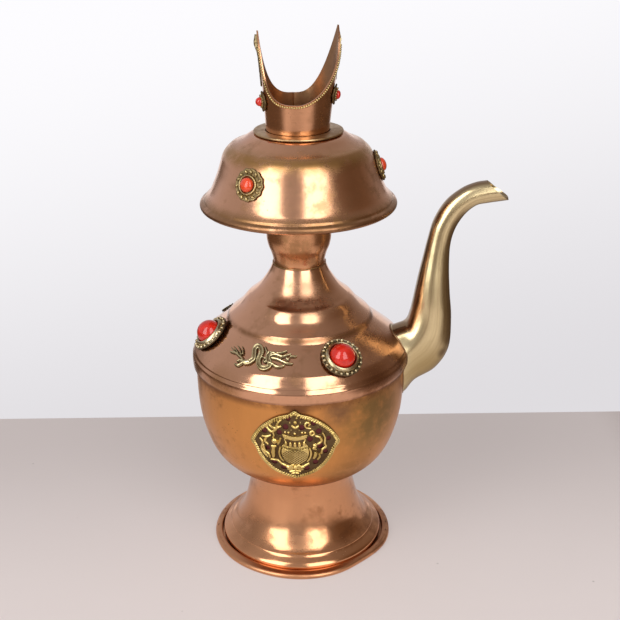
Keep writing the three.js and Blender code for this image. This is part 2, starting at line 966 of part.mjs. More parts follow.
// A leaf on a horn's outer face, between the wire and the back cut, thickest along its rib
function buildLeaf(name, horn) {
  const side = Math.sign(horn.tipDegrees);
  const rings = leafWidthShares.map((widthShare, i) => {
    const along = i / (leafWidthShares.length - 1);
    const riseShare = horn.leafBottomShare + (leaf.topShare - horn.leafBottomShare) * along;
    const height = flangeTop + crown.rise * riseShare;
    const rise = (riseShare - crown.notchShare) / (1 - crown.notchShare);
    const front = cutPoint(horn, true, rise ** (1 / horn.frontPower)).degrees;
    const back = cutPoint(horn, false, rise ** (1 / horn.backPower)).degrees;
    const radius = crownRadius(height) + seat;
    const wireWidth = side * THREE.MathUtils.radToDeg((2 * wire.radius + seat) / radius);
    const middle = (front + wireWidth + (side < 0 ? back - 360 : back)) / 2;
    const corner = THREE.MathUtils.radToDeg((leaf.halfWidth * widthShare) / radius);
    return [
      crownPoint(middle - corner, radius + leaf.thickness, height),
      crownPoint(middle, radius + leaf.thickness + leaf.ridge, height),
      crownPoint(middle + corner, radius + leaf.thickness, height),
      crownPoint(middle + corner, radius, height),
      crownPoint(middle, radius, height),
      crownPoint(middle - corner, radius, height),
    ];
  });
  addMesh(name, weld(cappedLoft(rings)), brass);
}

function buildSpout() {
  const out = (share) => bowl.radius + spout.reach * share;
  const up = (share) => shoulder.lipHeight + spout.rise * share;
  const ring = ([upperOut, upperUp, lowerOut, lowerUp, width], wall) => {
    const upper = new THREE.Vector3(out(upperOut), 0, up(upperUp));
    const lower = new THREE.Vector3(out(lowerOut), 0, up(lowerUp));
    const centre = upper.clone().add(lower).multiplyScalar(0.5);
    const half = upper.clone().sub(centre);
    const high = half.clone().setLength(half.length() - wall);
    const wide = spout.halfWidth * width - wall;
    const points = [];
    for (let i = 0; i < spoutSides; i++) {
      const angle = (2 * Math.PI * i) / spoutSides;
      const point = centre.clone().addScaledVector(high, Math.cos(angle));
      point.y -= wide * Math.sin(angle);
      points.push(point);
    }
    return points;
  };
  const outer = spoutShares.map((row) => ring(row, 0));
  const inner = spoutShares.map((row) => ring(row, spout.wall)).reverse();
  const tube = toSolid(ringLoft([...outer, ...inner]));
  const bodyOutline = [
    vector(0, bowl.bottom),
    ...offset(bowlOutline, seat).filter(
      (point) => point.y < shoulder.lipHeight - seat && point.x > bowl.flatRadius,
    ),
    vector(bowl.radius + seat, shoulder.lipHeight - seat),
    ...offset([...shoulderLip, ...shoulderSlope, shoulderDome[0], shoulderDome[2]], seat),
    vector(0, shoulder.domeHeight + overrun),
  ];
  const body = toSolid(spin(bodyOutline, shellSides));
  addMesh("spout", toGeometry(tube.subtract(body)), brass);
}

// A ring of points round Z, where the odd points may lie further in or lower than the even ones
function beadedRing(sides, radius, height, valleyRadius = radius, valleyHeight = height) {
  const points = [];
  for (let i = 0; i < sides; i++) {
    const angle = (2 * Math.PI * i) / sides;
    const odd = i % 2 === 1;
    const size = odd ? valleyRadius : radius;
    const level = odd ? valleyHeight : height;
    points.push(new THREE.Vector3(size * Math.cos(angle), size * Math.sin(angle), level));
  }
  return points;
}

// A round setting: a plate with a rim of beads, two points to a bead, and a cup for the stone
function settingGeometry(stone, beads) {
  const sides = 2 * beads.count;
  const cupRadius = stone.radius + seat + stone.wall;
  const floor = stone.plateHeight / 2;
  const crest = stone.plateHeight + beads.height;
  const valley = stone.plateRadius - beads.inset / 2;
  const beadRadius = stone.plateRadius - beads.inset;
  const inner = beadRadius - beads.inset;
  const rings = [
    beadedRing(sides, valley, 0),
    beadedRing(sides, stone.plateRadius, floor, valley),
    beadedRing(sides, beadRadius, crest, beadRadius, stone.plateHeight),
    beadedRing(sides, (inner + cupRadius) / 2, stone.plateHeight),
    beadedRing(sides, cupRadius, stone.cup),
    beadedRing(sides, cupRadius - stone.wall, stone.cup),
    beadedRing(sides, cupRadius - stone.wall, floor),
  ];
  return weld(cappedLoft(rings));
}

// A cabochon: an upright side that becomes a dome
function stoneGeometry(stone, sides) {
  const side = stone.height * stoneSideShare;
  const dome = [];
  for (let i = 0; i <= stoneSteps; i++) {
    const angle = (Math.PI / 2) * (i / stoneSteps);
    const share = i === stoneSteps ? 0 : Math.cos(angle);
    dome.push(vector(stone.radius * share, side + (stone.height - side) * Math.sin(angle)));
  }
  const geometry = new THREE.LatheGeometry([vector(0, 0), vector(stone.radius, 0), ...dome], sides);
  geometry.rotateX(Math.PI / 2);
  geometry.translate(0, 0, stone.plateHeight / 2 + seat);
  return weld(geometry);
}

function addStone(name, stone, sides, beads, outline, height, degrees, sway = 0) {
  const frame = new Seat(outline, height, degrees).frame(stone.plateRadius);
  frame.position.x += sway;
  addMesh(name.replace("stone", "setting"), settingGeometry(stone, beads), brass, frame);
  addMesh(name.replace("stone", "coral"), stoneGeometry(stone, sides), coral, frame);
}

// A stroke of relief: a raised band along a centre line, flat below and ridged above
function strokeGeometry(path, halfWidths, low, edge, high) {
  const rings = path.map((point, i) => {
    const before = path[Math.max(i - 1, 0)];
    const after = path[Math.min(i + 1, path.length - 1)];
    const way = after.clone().sub(before).normalize();
    const across = vector(-way.y, way.x);
    const half = halfWidths[i];
    const left = point.clone().addScaledVector(across, half);
    const right = point.clone().addScaledVector(across, -half);
    return [
      new THREE.Vector3(left.x, left.y, edge),
      new THREE.Vector3(point.x, point.y, high),
      new THREE.Vector3(right.x, right.y, edge),
      new THREE.Vector3(right.x, right.y, low),
      new THREE.Vector3(left.x, left.y, low),
    ];
  });
  return cappedLoft(rings);
}

function buildDragon(name, degrees) {
  let relief = null;
  for (const stroke of dragonStrokes) {
    const path = stroke.pathShares.map(([x, y]) => vector(dragon.halfLength * x, dragon.halfHeight * y));
    const halfWidths = stroke.widthShares.map((share) => dragon.stroke * share);
    const high = dragon.height * stroke.heightShare;
    const solid = toSolid(strokeGeometry(path, halfWidths, 0, high * dragon.edgeShare, high));
    relief = relief ? relief.add(solid) : solid;
  }
  const seatOnSlope = new Seat(shoulderSlope, dragonHeight, degrees);
  addMesh(name, weld(seatOnSlope.lay(toGeometry(relief))), brass);
}

function plaqueOutline() {
  const right = [...plaqueLowerShares, ...plaqueUpperShares];
  const left = right.slice(1, -1).reverse();
  return [...right, ...left.map(([x, y]) => [-x, y])].map(([x, y]) =>
    vector(x * plaque.halfWidth, y * plaque.halfHeight),
  );
}

// A low solid over a star-shaped outline: upright edge, then an inset top
function pillow(outline, low, edge, high, inset) {
  const centre = outline.reduce((sum, point) => sum.add(point), vector(0, 0)).divideScalar(outline.length);
  const inner = outline.map((point) => point.clone().lerp(centre, inset));
  const ring = (points, height) => points.map((point) => new THREE.Vector3(point.x, point.y, height));
  const rings = [ring(outline, low), ring(outline, edge), ring(inner, high)];
  const sides = outline.length;
  const geometry = ringLoft(rings);
  const index = Array.from(geometry.index.array).slice(0, 2 * sides * 6);
  const points = rings.flat();
  const bottom = points.push(new THREE.Vector3(centre.x, centre.y, low)) - 1;
  const top = points.push(new THREE.Vector3(centre.x, centre.y, high)) - 1;
  for (let j = 0; j < sides; j++) {
    const next = (j + 1) % sides;
    index.push(bottom, next, j);
    index.push(top, 2 * sides + j, 2 * sides + next);
  }
  const closed = new THREE.BufferGeometry().setFromPoints(points);
  closed.setIndex(index);
  return closed;
}

function mirrored(shares) {
  const back = shares.filter(([x]) => x > 0).reverse();
  return [...shares, ...back.map(([x, y]) => [-x, y])];
}

function buildPlaque() {
  const outline = plaqueOutline();
  const sides = outline.length;
  const bowlSeat = new Seat(bowlOutline, plaque.height, plaqueDegrees);
  const toPoint = ([x, y]) => vector(x * plaque.halfWidth, y * plaque.halfHeight);

  // plate with its raised border, in rings so that it bends with the bowl
  const borderFoot = 1 - plaque.border / plaque.halfWidth;
  const crest = 1 - (plaque.border / plaque.halfWidth) * borderCrestShare;
  const layer = (share, height) =>
    outline.map((point) => new THREE.Vector3(point.x * share, point.y * share, height));
  const rings = [
    ...[...plaqueFieldShares].reverse().map((share) => layer(share, 0)),
    layer(1, 0),
    layer(1, plaque.thickness),
    layer(crest, plaque.thickness + plaque.borderHeight),
    layer(borderFoot, plaque.thickness),
    ...plaqueFieldShares.map((share) => layer(share, plaque.thickness)),
  ];
  const open = ringLoft(rings);
  const index = Array.from(open.index.array).slice(0, (rings.length - 1) * sides * 6);
  const points = rings.flat();
  const bottom = points.push(new THREE.Vector3(0, 0, 0)) - 1;
  const top = points.push(new THREE.Vector3(0, 0, plaque.thickness)) - 1;
  const last = (rings.length - 1) * sides;
  for (let j = 0; j < sides; j++) {
    const next = (j + 1) % sides;
    index.push(bottom, next, j);
    index.push(top, last + j, last + next);
  }
  const flatPlate = new THREE.BufferGeometry().setFromPoints(points);
  flatPlate.setIndex(index);
  let solid = toSolid(bowlSeat.lay(flatPlate));

  // piercings
  for (const share of piercingShares) {
    const at = toPoint(share);
    const hole = new THREE.CylinderGeometry(
      plaque.pierceRadius,
      plaque.pierceRadius,
      plaque.thickness + 2 * overrun,
      pierceSides,
    );
    hole.rotateX(Math.PI / 2);
    hole.translate(at.x, at.y, plaque.thickness / 2);
    solid = solid.subtract(toSolid(bowlSeat.lay(hole)));
  }

  // treasure vase, jewel, lotus and ribbons
  const low = plaque.thickness - plaque.root;
  const edge = plaque.thickness + plaque.relief / 2;
  const high = plaque.thickness + plaque.relief;
  const reliefs = [reliefVaseShares, reliefJewelShares, reliefLotusShares].map((shares) =>
    pillow(mirrored(shares).map(toPoint), low, edge, high, pillowInsetShare),
  );
  for (const side of [1, -1]) {
    for (const shares of reliefRibbonShares) {
      const path = shares.map(([x, y]) => toPoint([x * side, y]));
      const halfWidths = path.map(() => plaque.stroke);
      reliefs.push(strokeGeometry(path, halfWidths, low, edge, high));
    }
  }
  for (const relief of reliefs) solid = solid.add(toSolid(bowlSeat.lay(relief)));
  addMesh("plaque", toGeometry(solid), brass);
}

buildBasePlate();
buildFoot();
buildBowl();
buildShoulder();
buildNeck();
const { flank: collarFlank, outline: collarProfile } = collarOutline();
addMesh("collar", spin(collarProfile, shellSides), copper);
buildCrownTube();
buildCrownFlange();
buildCrownWire();
buildLeaf("horn_leaf_left", leftHorn);
buildLeaf("horn_leaf_right", rightHorn);
buildSpout();
shoulderStoneDegrees.forEach((degrees, i) => {
  addStone(
    `shoulder_stone_${i + 1}`,
    shoulderStone,
    shoulderStoneSides,
    shoulderBeads,
    shoulderSlope,
    shoulderStoneHeight,
    degrees,
  );
});
collarStoneDegrees.forEach((degrees, i) => {
  addStone(
    `collar_stone_${i + 1}`,
    collarStone,
    collarStoneSides,
    collarBeads,
    collarFlank,
    collarStoneHeight,
    degrees,
  );
});
const tubeOutline = [0, 0.5, 1].map((share) => {
  const height = flangeTop + crown.rise * share;
  return vector(crownRadius(height), height);
});
crownStoneDegrees.forEach((degrees, i) => {
  const height = flangeTop + crown.rise * crownStoneShares[i];
  addStone(
    `crown_stone_${crownStoneNames[i]}`,
    crownStone,
    crownStoneSides,
    crownBeads,
    tubeOutline,
    height,
    degrees,
    crownSway(height),
  );
});
dragonDegrees.forEach((degrees, i) => {
  buildDragon(`dragon_${dragonNames[i]}`, degrees);
});
buildPlaque();

export default part;
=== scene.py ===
import math

import bpy
from mathutils import Matrix, Vector, noise


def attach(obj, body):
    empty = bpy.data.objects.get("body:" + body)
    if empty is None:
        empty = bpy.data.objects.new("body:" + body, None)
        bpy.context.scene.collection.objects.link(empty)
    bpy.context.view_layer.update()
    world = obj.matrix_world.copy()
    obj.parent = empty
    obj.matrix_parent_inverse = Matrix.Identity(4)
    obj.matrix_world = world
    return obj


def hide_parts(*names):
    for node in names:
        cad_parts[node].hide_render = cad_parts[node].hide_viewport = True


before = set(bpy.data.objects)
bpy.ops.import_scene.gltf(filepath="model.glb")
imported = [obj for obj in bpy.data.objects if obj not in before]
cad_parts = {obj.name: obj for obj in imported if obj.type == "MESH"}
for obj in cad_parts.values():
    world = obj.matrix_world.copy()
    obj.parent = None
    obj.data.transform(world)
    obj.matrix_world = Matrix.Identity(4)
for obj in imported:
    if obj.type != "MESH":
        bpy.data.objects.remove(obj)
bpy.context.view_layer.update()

# A Tibetan bumpa: a ritual ewer of spun copper with a cast brass spout, a parasol collar and a
# crescent crown that lifts out of the neck. Outlines are (radius, height) in millimetres, and an
# azimuth is in degrees round the axis, from the front (-Y) towards the spout (+X).


# BASE PLATE
# A copper disc whose rim is rolled up over the flange of the foot. The roll was closed by hand,
# and it is knocked inwards a little at the front right.
MM = 0.001
AXIS = 0.001
FLATS = 144
PLATE_SHEET = 0.6
PLATE_FLOOR, PLATE_EDGE, HEM_EDGE = 46, 52, 50
KNOCK, KNOCK_AZIMUTH, KNOCK_SPREAD = 2.0, 44, 18
SPRING, SPRING_AZIMUTH, SPRING_SPREAD = 0.4, 76, 14
HEM_GAP = 1.3
WAVE_SEED = 1795846711
noise.seed_set(WAVE_SEED)


def eased(points, steps=6):
    """Points along a smooth line through the given ones."""
    line = []
    for i in range(len(points) - 1):
        a, b = Vector(points[i]), Vector(points[i + 1])
        before = Vector(points[i - 1]) if i else 2 * a - b
        after = Vector(points[i + 2]) if i + 2 < len(points) else 2 * b - a
        for k in range(steps):
            t = k / steps
            bend = (2 * before - 5 * a + 4 * b - after) * t**2 + (3 * a - before - 3 * b + after) * t**3
            line.append(tuple(a + ((b - before) * t + bend) / 2))
    return [*line, tuple(points[-1])]


def rolled(radius, height, size, start, end, steps=12):
    """Points round a roll of sheet, between two angles in degrees."""
    turns = [math.radians(start + (end - start) * i / steps) for i in range(steps + 1)]
    return [(radius + size * math.cos(turn), height + size * math.sin(turn)) for turn in turns]


def only(piece):
    bpy.ops.object.select_all(action="DESELECT")
    piece.select_set(True)
    bpy.context.view_layer.objects.active = piece


def open_mesh():
    bpy.ops.object.mode_set(mode="EDIT")
    bpy.ops.mesh.select_all(action="SELECT")


def close_mesh(merge=0.01 * MM):
    bpy.ops.mesh.select_all(action="SELECT")
    bpy.ops.mesh.remove_doubles(threshold=merge)
    bpy.ops.mesh.normals_make_consistent(inside=False)
    bpy.ops.object.mode_set(mode="OBJECT")


def settle(piece):
    only(piece)
    bpy.ops.object.transform_apply(location=True, rotation=True, scale=True)


def shaped(piece, kind, **settings):
    """A modifier, applied at once."""
    only(piece)
    modifier = piece.modifiers.new(kind, kind)
    for name, value in settings.items():
        setattr(modifier, name, value)
    bpy.ops.object.modifier_apply(modifier=modifier.name)


def smoothed(piece, degrees=40):
    only(piece)
    bpy.ops.object.shade_smooth_by_angle(angle=math.radians(degrees))


def spun(name, outline, flats=FLATS, capped=False):
    """A shell drawn up ring by ring along its outline."""
    bpy.ops.object.select_all(action="DESELECT")
    radius, height = outline[0]
    bpy.ops.mesh.primitive_circle_add(
        vertices=flats,
        radius=radius * MM,
        location=(0, 0, height * MM),
        fill_type="TRIFAN" if capped else "NOTHING",
    )
    piece = bpy.context.object
    piece.name = name
    open_mesh()
    if capped:
        bpy.ops.mesh.region_to_loop()
    for next_radius, next_height in outline[1:]:
        step = (0, 0, (next_height - height) * MM)
        bpy.ops.mesh.extrude_edges_move(TRANSFORM_OT_translate={"value": step})
        wider = next_radius / radius
        bpy.ops.transform.resize(value=(wider, wider, 1), center_override=(0, 0, next_height * MM))
        radius, height = next_radius, next_height
    close_mesh()
    settle(piece)
    return piece


def azimuth_of(place):
    return math.degrees(math.atan2(place.x, -place.y))


def hump(value, middle, spread):
    """1 at a middle value, fading on both sides of it."""
    return math.exp(-(((value - middle) / spread) ** 2))


def hammered(piece, depth, size):
    """The slight waves that hand work leaves in sheet, drawn from the seed so that they stay the same."""
    for vertex in piece.data.vertices:
        drift = noise.noise_vector(vertex.co / (size * MM)) * depth * MM
        vertex.co += Vector((drift.x, drift.y, 0))


class Shade:
    """A socket of a finish. Sums on it add Math nodes."""

    def __init__(self, finish, socket):
        self.finish = finish
        self.socket = socket

    def math(self, operation, *others, clamp=False):
        settings = {"operation": operation, "use_clamp": clamp}
        return self.finish.node("ShaderNodeMath", settings, dict(enumerate((self, *others))))

    def __add__(self, other):
        return self.math("ADD", other)

    def __sub__(self, other):
        return self.math("SUBTRACT", other)

    def __mul__(self, other):
        return self.math("MULTIPLY", other)

    def __rsub__(self, other):
        return self.math("MULTIPLY_ADD", -1, other)

    __radd__ = __add__
    __rmul__ = __mul__

    def above(self, low, high):
        """0 below low, 1 above high, and smooth between them; the other way round if high is lower."""
        inputs = {"Value": self, "From Min": low, "From Max": high}
        return self.finish.node("ShaderNodeMapRange", {"interpolation_type": "SMOOTHSTEP"}, inputs)


class Finish:
    """A material: nodes are added by node(), and what varies is joined to the shader by vary()."""

    def __init__(self, name, **fixed):
        self.material = bpy.data.materials.new(name)
        self.material.use_nodes = True
        self.tree = self.material.node_tree
        self.shader = self.tree.nodes["Principled BSDF"]
        for socket, value in fixed.items():
            self.shader.inputs[socket.replace("_", " ")].default_value = value
        self.place = self.node("ShaderNodeTexCoord", {}, {}, "Object")
        parts = self.node("ShaderNodeSeparateXYZ", {}, {"Vector": self.place})
        outputs = parts.socket.node.outputs
        self.x, self.y, self.z = (Shade(self, outputs[axis]) for axis in "XYZ")
        level = self.node("ShaderNodeCombineXYZ", {}, {"X": self.x, "Y": self.y})
        self.radius = self.node("ShaderNodeVectorMath", {"operation": "LENGTH"}, {0: level}, "Value")

    def node(self, kind, settings, inputs, output=0):
        node = self.tree.nodes.new(kind)
        for name, value in settings.items():
            setattr(node, name, value)
        for name, value in inputs.items():
            if isinstance(value, Shade):
                self.tree.links.new(value.socket, node.inputs[name])
            else:
                node.inputs[name].default_value = value
        return Shade(self, node.outputs[output])

    def stretched(self, x, y, z):
        return self.node("ShaderNodeVectorMath", {"operation": "MULTIPLY"}, {0: self.place, 1: (x, y, z)})

    def clouds(self, place, scale, detail=3.0, rough=0.5, warp=0.0):
        """Soft noise round 0.5; scale is in features per metre on the plain place."""
        inputs = {"Vector": place, "Scale": scale, "Detail": detail, "Roughness": rough, "Distortion": warp}
        return self.node("ShaderNodeTexNoise", {}, inputs)

    def dots(self, scale, size):
        """Scattered dots, 1 in their middle; size is their share of the cell."""
        spread = self.node("ShaderNodeTexVoronoi", {}, {"Vector": self.place, "Scale": scale}, "Distance")
        return spread.above(size, size * 0.4)

    def near(self, x, y, z, reach):
        """1 at a point in millimetres, fading to 0 at its reach."""
        inputs = {0: self.place, 1: (x * MM, y * MM, z * MM)}
        away = self.node("ShaderNodeVectorMath", {"operation": "DISTANCE"}, inputs, "Value")
        return away.above(reach * MM, reach * 0.2 * MM)

    def blend(self, share, a, b):
        """Colour a, turning into colour b by a share."""
        node = self.tree.nodes.new("ShaderNodeMix")
        node.data_type = "RGBA"
        for socket, value in ((node.inputs[0], share), (node.inputs[6], a), (node.inputs[7], b)):
            if isinstance(value, Shade):
                self.tree.links.new(value.socket, socket)
            elif socket is node.inputs[0]:
                socket.default_value = value
            else:
                socket.default_value = (*value, 1)
        return Shade(self, node.outputs[2])

    def lattice_share(self, flat, pitch):
        """1 in the cells of the netting engraved on the belly of the small vase."""
        outputs = self.node("ShaderNodeSeparateXYZ", {}, {"Vector": flat}).socket.node.outputs
        x, y = (Shade(self, outputs[axis]) for axis in "XY")
        cells = [(x + y * side).math("PINGPONG", pitch * 0.5 * MM) for side in (1.15, -1.15)]
        cell = cells[0].math("MINIMUM", cells[1]).above(0.14 * MM, 0.36 * MM)
        bulge = ((x * x) * 1.1 + (y + 5.2 * MM) * (y + 5.2 * MM) * 2.2).above(62 * MM * MM, 48 * MM * MM)
        return cell * bulge

    def vary(self, colour=None, roughness=None, metal=None, bumps=()):
        """Joins what varies; each bump is (height, depth in millimetres, strength)."""
        for socket, value in (("Base Color", colour), ("Roughness", roughness), ("Metallic", metal)):
            if value is not None:
                self.tree.links.new(value.socket, self.shader.inputs[socket])
        normal = None
        for height, depth, strength in bumps:
            inputs = {"Height": height, "Distance": depth * MM, "Strength": strength}
            if normal:
                inputs["Normal"] = normal
            normal = self.node("ShaderNodeBump", {}, inputs)
        if normal:
            self.tree.links.new(normal.socket, self.shader.inputs["Normal"])


def copper_finish(name, clean, tarnished, rough=0.2, tarnish=0.5, grain=0.35, stains_and_shade=(), tarnish_and_shade_bands=()):
    """Spun copper: fine rings from the spinning tool, clouds of tarnish, rubbed spots and pits.
    Stains and painted patches of shade are each (x, y, z, reach, colour), and bands of tarnish and
    of painted shade each (height, reach, colour), in millimetres."""
    copper = Finish(name, Metallic=1.0)
    along = copper.z * 1000 - copper.radius * 800
    turned = {"X": copper.x * 9, "Y": copper.y * 9, "Z": along}
    groove_place = copper.node("ShaderNodeCombineXYZ", {}, turned)
    grooves = copper.clouds(groove_place, 1.3, 4.0, 0.65)
    clouds = copper.clouds(copper.place, 34, 5.0, 0.6, 0.4)
    blotches = copper.clouds(copper.place, 170, 4.0, 0.65)
    smudges = copper.clouds(copper.stretched(160, 160, 26), 1, 3.0, 0.6, 0.3)
    patches = (clouds + (blotches - 0.5) * 0.45).above(0.62 - tarnish * 0.2, 0.78 - tarnish * 0.12)
    pits = copper.dots(420, 0.13) * copper.clouds(copper.place, 60, 2.0).above(0.48, 0.62)
    colour = copper.blend(patches * 0.8, clean, tarnished)
    colour = copper.blend((smudges - 0.35) * 0.5, colour, [0.72 * part for part in clean])
    haze = pits * 0.3
    for x, y, z, reach, stain_and_shade_colour in stains_and_shade:
        spread = copper.near(x, y, z, reach) * (clouds * 0.8 + blotches * 0.6).above(0.3, 0.75)
        colour = copper.blend(spread, colour, stain_and_shade_colour)
        haze = haze + spread * 0.16
    for height, reach, stain_and_shade_colour in tarnish_and_shade_bands:
        away = (copper.z - height * MM).math("ABSOLUTE")
        spread = away.above(reach * MM, 0) * (clouds * 0.7 + blotches * 0.6).above(0.4, 0.7)
        colour = copper.blend(spread * 0.85, colour, stain_and_shade_colour)
        haze = haze + spread * 0.12
    colour = copper.blend(pits * 0.85, colour, (0.09, 0.045, 0.025))
    roughness = rough + patches * 0.09 + (blotches - 0.5) * 0.12 + (grooves - 0.5) * 0.1 + haze
    copper.vary(
        colour,
        roughness,
        bumps=((grooves, 0.02, grain), (clouds, 0.5, 0.12), (pits, -0.08, 0.4)),
    )
    return copper.material


def dress(piece, material, slot, body, *nodes):
    """Gives a finished piece its material, its body and the solids that it stands for."""
    piece.data.materials.clear()
    piece.data.materials.append(material)
    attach(piece, body)
    if nodes:
        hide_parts(*nodes)


plate_copper = copper_finish(
    "plate_copper",
    (0.66, 0.32, 0.16),
    (0.36, 0.16, 0.08),
    rough=0.33,
    tarnish=0.7,
)
plate_line = [
    (PLATE_FLOOR, 0.2),
    (49.5, 0),
    *rolled(50.9, 1.7, 1.7, -90, 95),
    *eased([(50.0, 3.55), (48.8, 3.7), (47.6, 3.5), (47.3, 2.4)], 3),
]
base_plate = spun("base_plate_rolled", plate_line, capped=True)
for vertex in base_plate.data.vertices:
    azimuth = azimuth_of(vertex.co)
    knock = hump(azimuth, KNOCK_AZIMUTH, KNOCK_SPREAD) * KNOCK
    knock -= hump(azimuth, SPRING_AZIMUTH, SPRING_SPREAD) * SPRING
    outer = max(vertex.co.xy.length / MM - PLATE_FLOOR, 0) / (PLATE_EDGE - PLATE_FLOOR)
    hem = vertex.co.z / MM > 2 and vertex.co.xy.length / MM < HEM_EDGE
    sideways = max(abs(math.sin(math.radians(azimuth))) - 0.75, 0) / 0.25
    opened = HEM_GAP * sideways if hem else 0
    vertex.co.xy *= 1 - (knock * outer - opened) / PLATE_EDGE
hammered(base_plate, 0.25, 24)
shaped(base_plate, "SOLIDIFY", thickness=PLATE_SHEET * MM, offset=-1)
smoothed(base_plate)
dress(base_plate, plate_copper, "copper", "vase", "base_plate")


# FOOT
# A bell spun from one disc, with a sloping band at the bottom that stands in the base plate, a
# little inside its rolled hem. Its waist is brazed to the bowl.
SHEET = 0.9
foot_copper = copper_finish(
    "foot_copper",
    (0.77, 0.38, 0.19),
    (0.42, 0.18, 0.08),
    rough=0.16,
    tarnish=0.5,
    stains_and_shade=((-32, -22, 14, 20, (0.44, 0.21, 0.1)), (-2, -37, 15, 9, (0.5, 0.25, 0.13))),
)
bell_line = [
    (42.4, 10.0),
    (40.7, 11.2),
    (38.5, 13.3),
    (36.6, 16.4),
    (34.8, 20.2),
    (33.2, 25.0),
    (31.7, 30.8),
    (30.2, 38.4),
    (30.5, 44.2),
    (31.3, 48.6),
]
foot_line = [
    (47.2, 2.4),
    *eased([(47.35, 4.6), (47.2, 5.4), (46.7, 6.2), (46.0, 6.9), (42.7, 9.3)], 3),
    (42.5, 9.6),
    *eased(bell_line),
]
foot = spun("foot_bell", foot_line)
hammered(foot, 0.12, 30)
shaped(foot, "SOLIDIFY", thickness=SHEET * MM, offset=-1)
smoothed(foot)
dress(foot, foot_copper, "copper", "vase", "foot")


# BOWL
# The polished lower body, rubbed with fine paste, so that it is satin and more golden than the
# rest. It has an olive bloom on the right, from handling.
bowl_copper = copper_finish(
    "bowl_copper",
    (0.76, 0.34, 0.105),
    (0.48, 0.21, 0.065),
    rough=0.3,
    tarnish=0.35,
    grain=0.25,
    stains_and_shade=(
        (38, -42, 100, 34, (0.34, 0.2, 0.07)),
        (20, -55, 110, 13, (0.3, 0.15, 0.07)),
        # Painted shade: the dark patch under the lip, above the plaque.
        (-2, -59, 115, 11, (0.16, 0.065, 0.03)),
        (26, -44, 64, 24, (0.46, 0.22, 0.07)),
    ),
    # Painted shade: a dark band under the lip at 114.5, and darker bands on the underside above the foot at
    # 55 and 51.
    tarnish_and_shade_bands=((114.5, 4.5, (0.3, 0.125, 0.05)), (55, 13, (0.34, 0.14, 0.05)), (51, 8, (0.22, 0.08, 0.03))),
)
bowl_wall = [
    (26.0, 48.5),
    (32.6, 50.1),
    (38.9, 53.2),
    (46.5, 59.4),
    (51.0, 65.6),
    (54.1, 72.9),
    (56.8, 82.4),
    (58.4, 92.2),
    (59.1, 105.4),
    (59.1, 121.0),
]
bowl = spun("bowl_polished", eased(bowl_wall), capped=True)
hammered(bowl, 0.12, 40)
shaped(bowl, "SOLIDIFY", thickness=SHEET * MM, offset=-1)
smoothed(bowl)
dress(bowl, bowl_copper, "bowl_copper", "vase", "bowl")


# SHOULDER
# One spun piece: a lip that laps over the bowl, a slope that carries the ornaments, a stepped
# dome and a flare up to the neck.
body_copper = copper_finish(
    "body_copper",
    (0.79, 0.425, 0.25),
    (0.47, 0.245, 0.12),
    rough=0.13,
    tarnish=0.5,
    stains_and_shade=(
        (-60, -14, 119, 26, (0.42, 0.2, 0.09)),
        (60, -16, 119, 34, (0.34, 0.15, 0.07)),
        (40, -46, 118, 20, (0.34, 0.15, 0.07)),
        (-42, -44, 116, 18, (0.5, 0.25, 0.11)),
        (38, -22, 144, 30, (0.6, 0.31, 0.17)),
        (4, -22, 160, 22, (0.7, 0.39, 0.23)),
    ),
    tarnish_and_shade_bands=((143.2, 2.2, (0.3, 0.14, 0.06)), (115.8, 1.6, (0.25, 0.11, 0.05))),
)
slope_line = [
    *eased([(59.6, 124.8), (58.3, 126.5), (57.0, 128.3), (56.0, 129.6)], 4),
    *eased([(55.3, 130.2), (51.2, 133.5), (46.9, 137.0), (41.6, 141.2)], 5),
]
dome_line = eased(
    [
        (39.2, 144.6),
        (37.3, 146.2),
        (35.0, 148.2),
        (33.0, 150.1),
        (31.6, 151.8),
        (30.2, 153.6),
        (28.7, 155.2),
        (26.9, 156.5),
    ]
)
flare_line = eased([(26.9, 156.5), (22.3, 160.6), (19.1, 164.8), (16.4, 169.2), (14.7, 173.4)])
shoulder_line = [
    (60.5, 115.6),
    (60.8, 115.8),
    *eased([(60.8, 116.4), (61.0, 118.3), (60.85, 121.7), (60.1, 123.3)]),
    (59.8, 123.8),
    (59.75, 124.2),
    *slope_line,
    (41.0, 141.8),
    (40.5, 142.6),
    (39.9, 143.7),
    *dome_line[:-1],
    *flare_line,
]
shoulder = spun("shoulder_spun", shoulder_line)
hammered(shoulder, 0.15, 36)
shaped(shoulder, "SOLIDIFY", thickness=SHEET * MM, offset=-1)
smoothed(shoulder)
dress(shoulder, body_copper, "copper", "vase", "shoulder")


# NECK
# A sleeve that widens like a cup and then runs straight up inside the collar, where it holds the
# crown. The torch that brazed it left it brown in patches.
NECK_RADIUS, NECK_TOP = 17.75, 246.2
neck_copper = copper_finish(
    "neck_copper",
    (0.76, 0.38, 0.19),
    (0.4, 0.21, 0.09),
    rough=0.24,
    tarnish=0.7,
)
neck_line = [
    (13.4, 169.2),
    (13.5, 173.4),
    (14.1, 174.0),
    *eased([(14.1, 174.3), (14.3, 176.5), (15.3, 180.3), (16.8, 184.1), (17.6, 187.9), (NECK_RADIUS, 190.5)]),
    (NECK_RADIUS, 208),
    (NECK_RADIUS, NECK_TOP),
]
neck = spun("neck_sleeve", neck_line, 96)
shaped(neck, "SOLIDIFY", thickness=SHEET * MM, offset=-1)
smoothed(neck)
dress(neck, neck_copper, "copper", "vase", "neck")


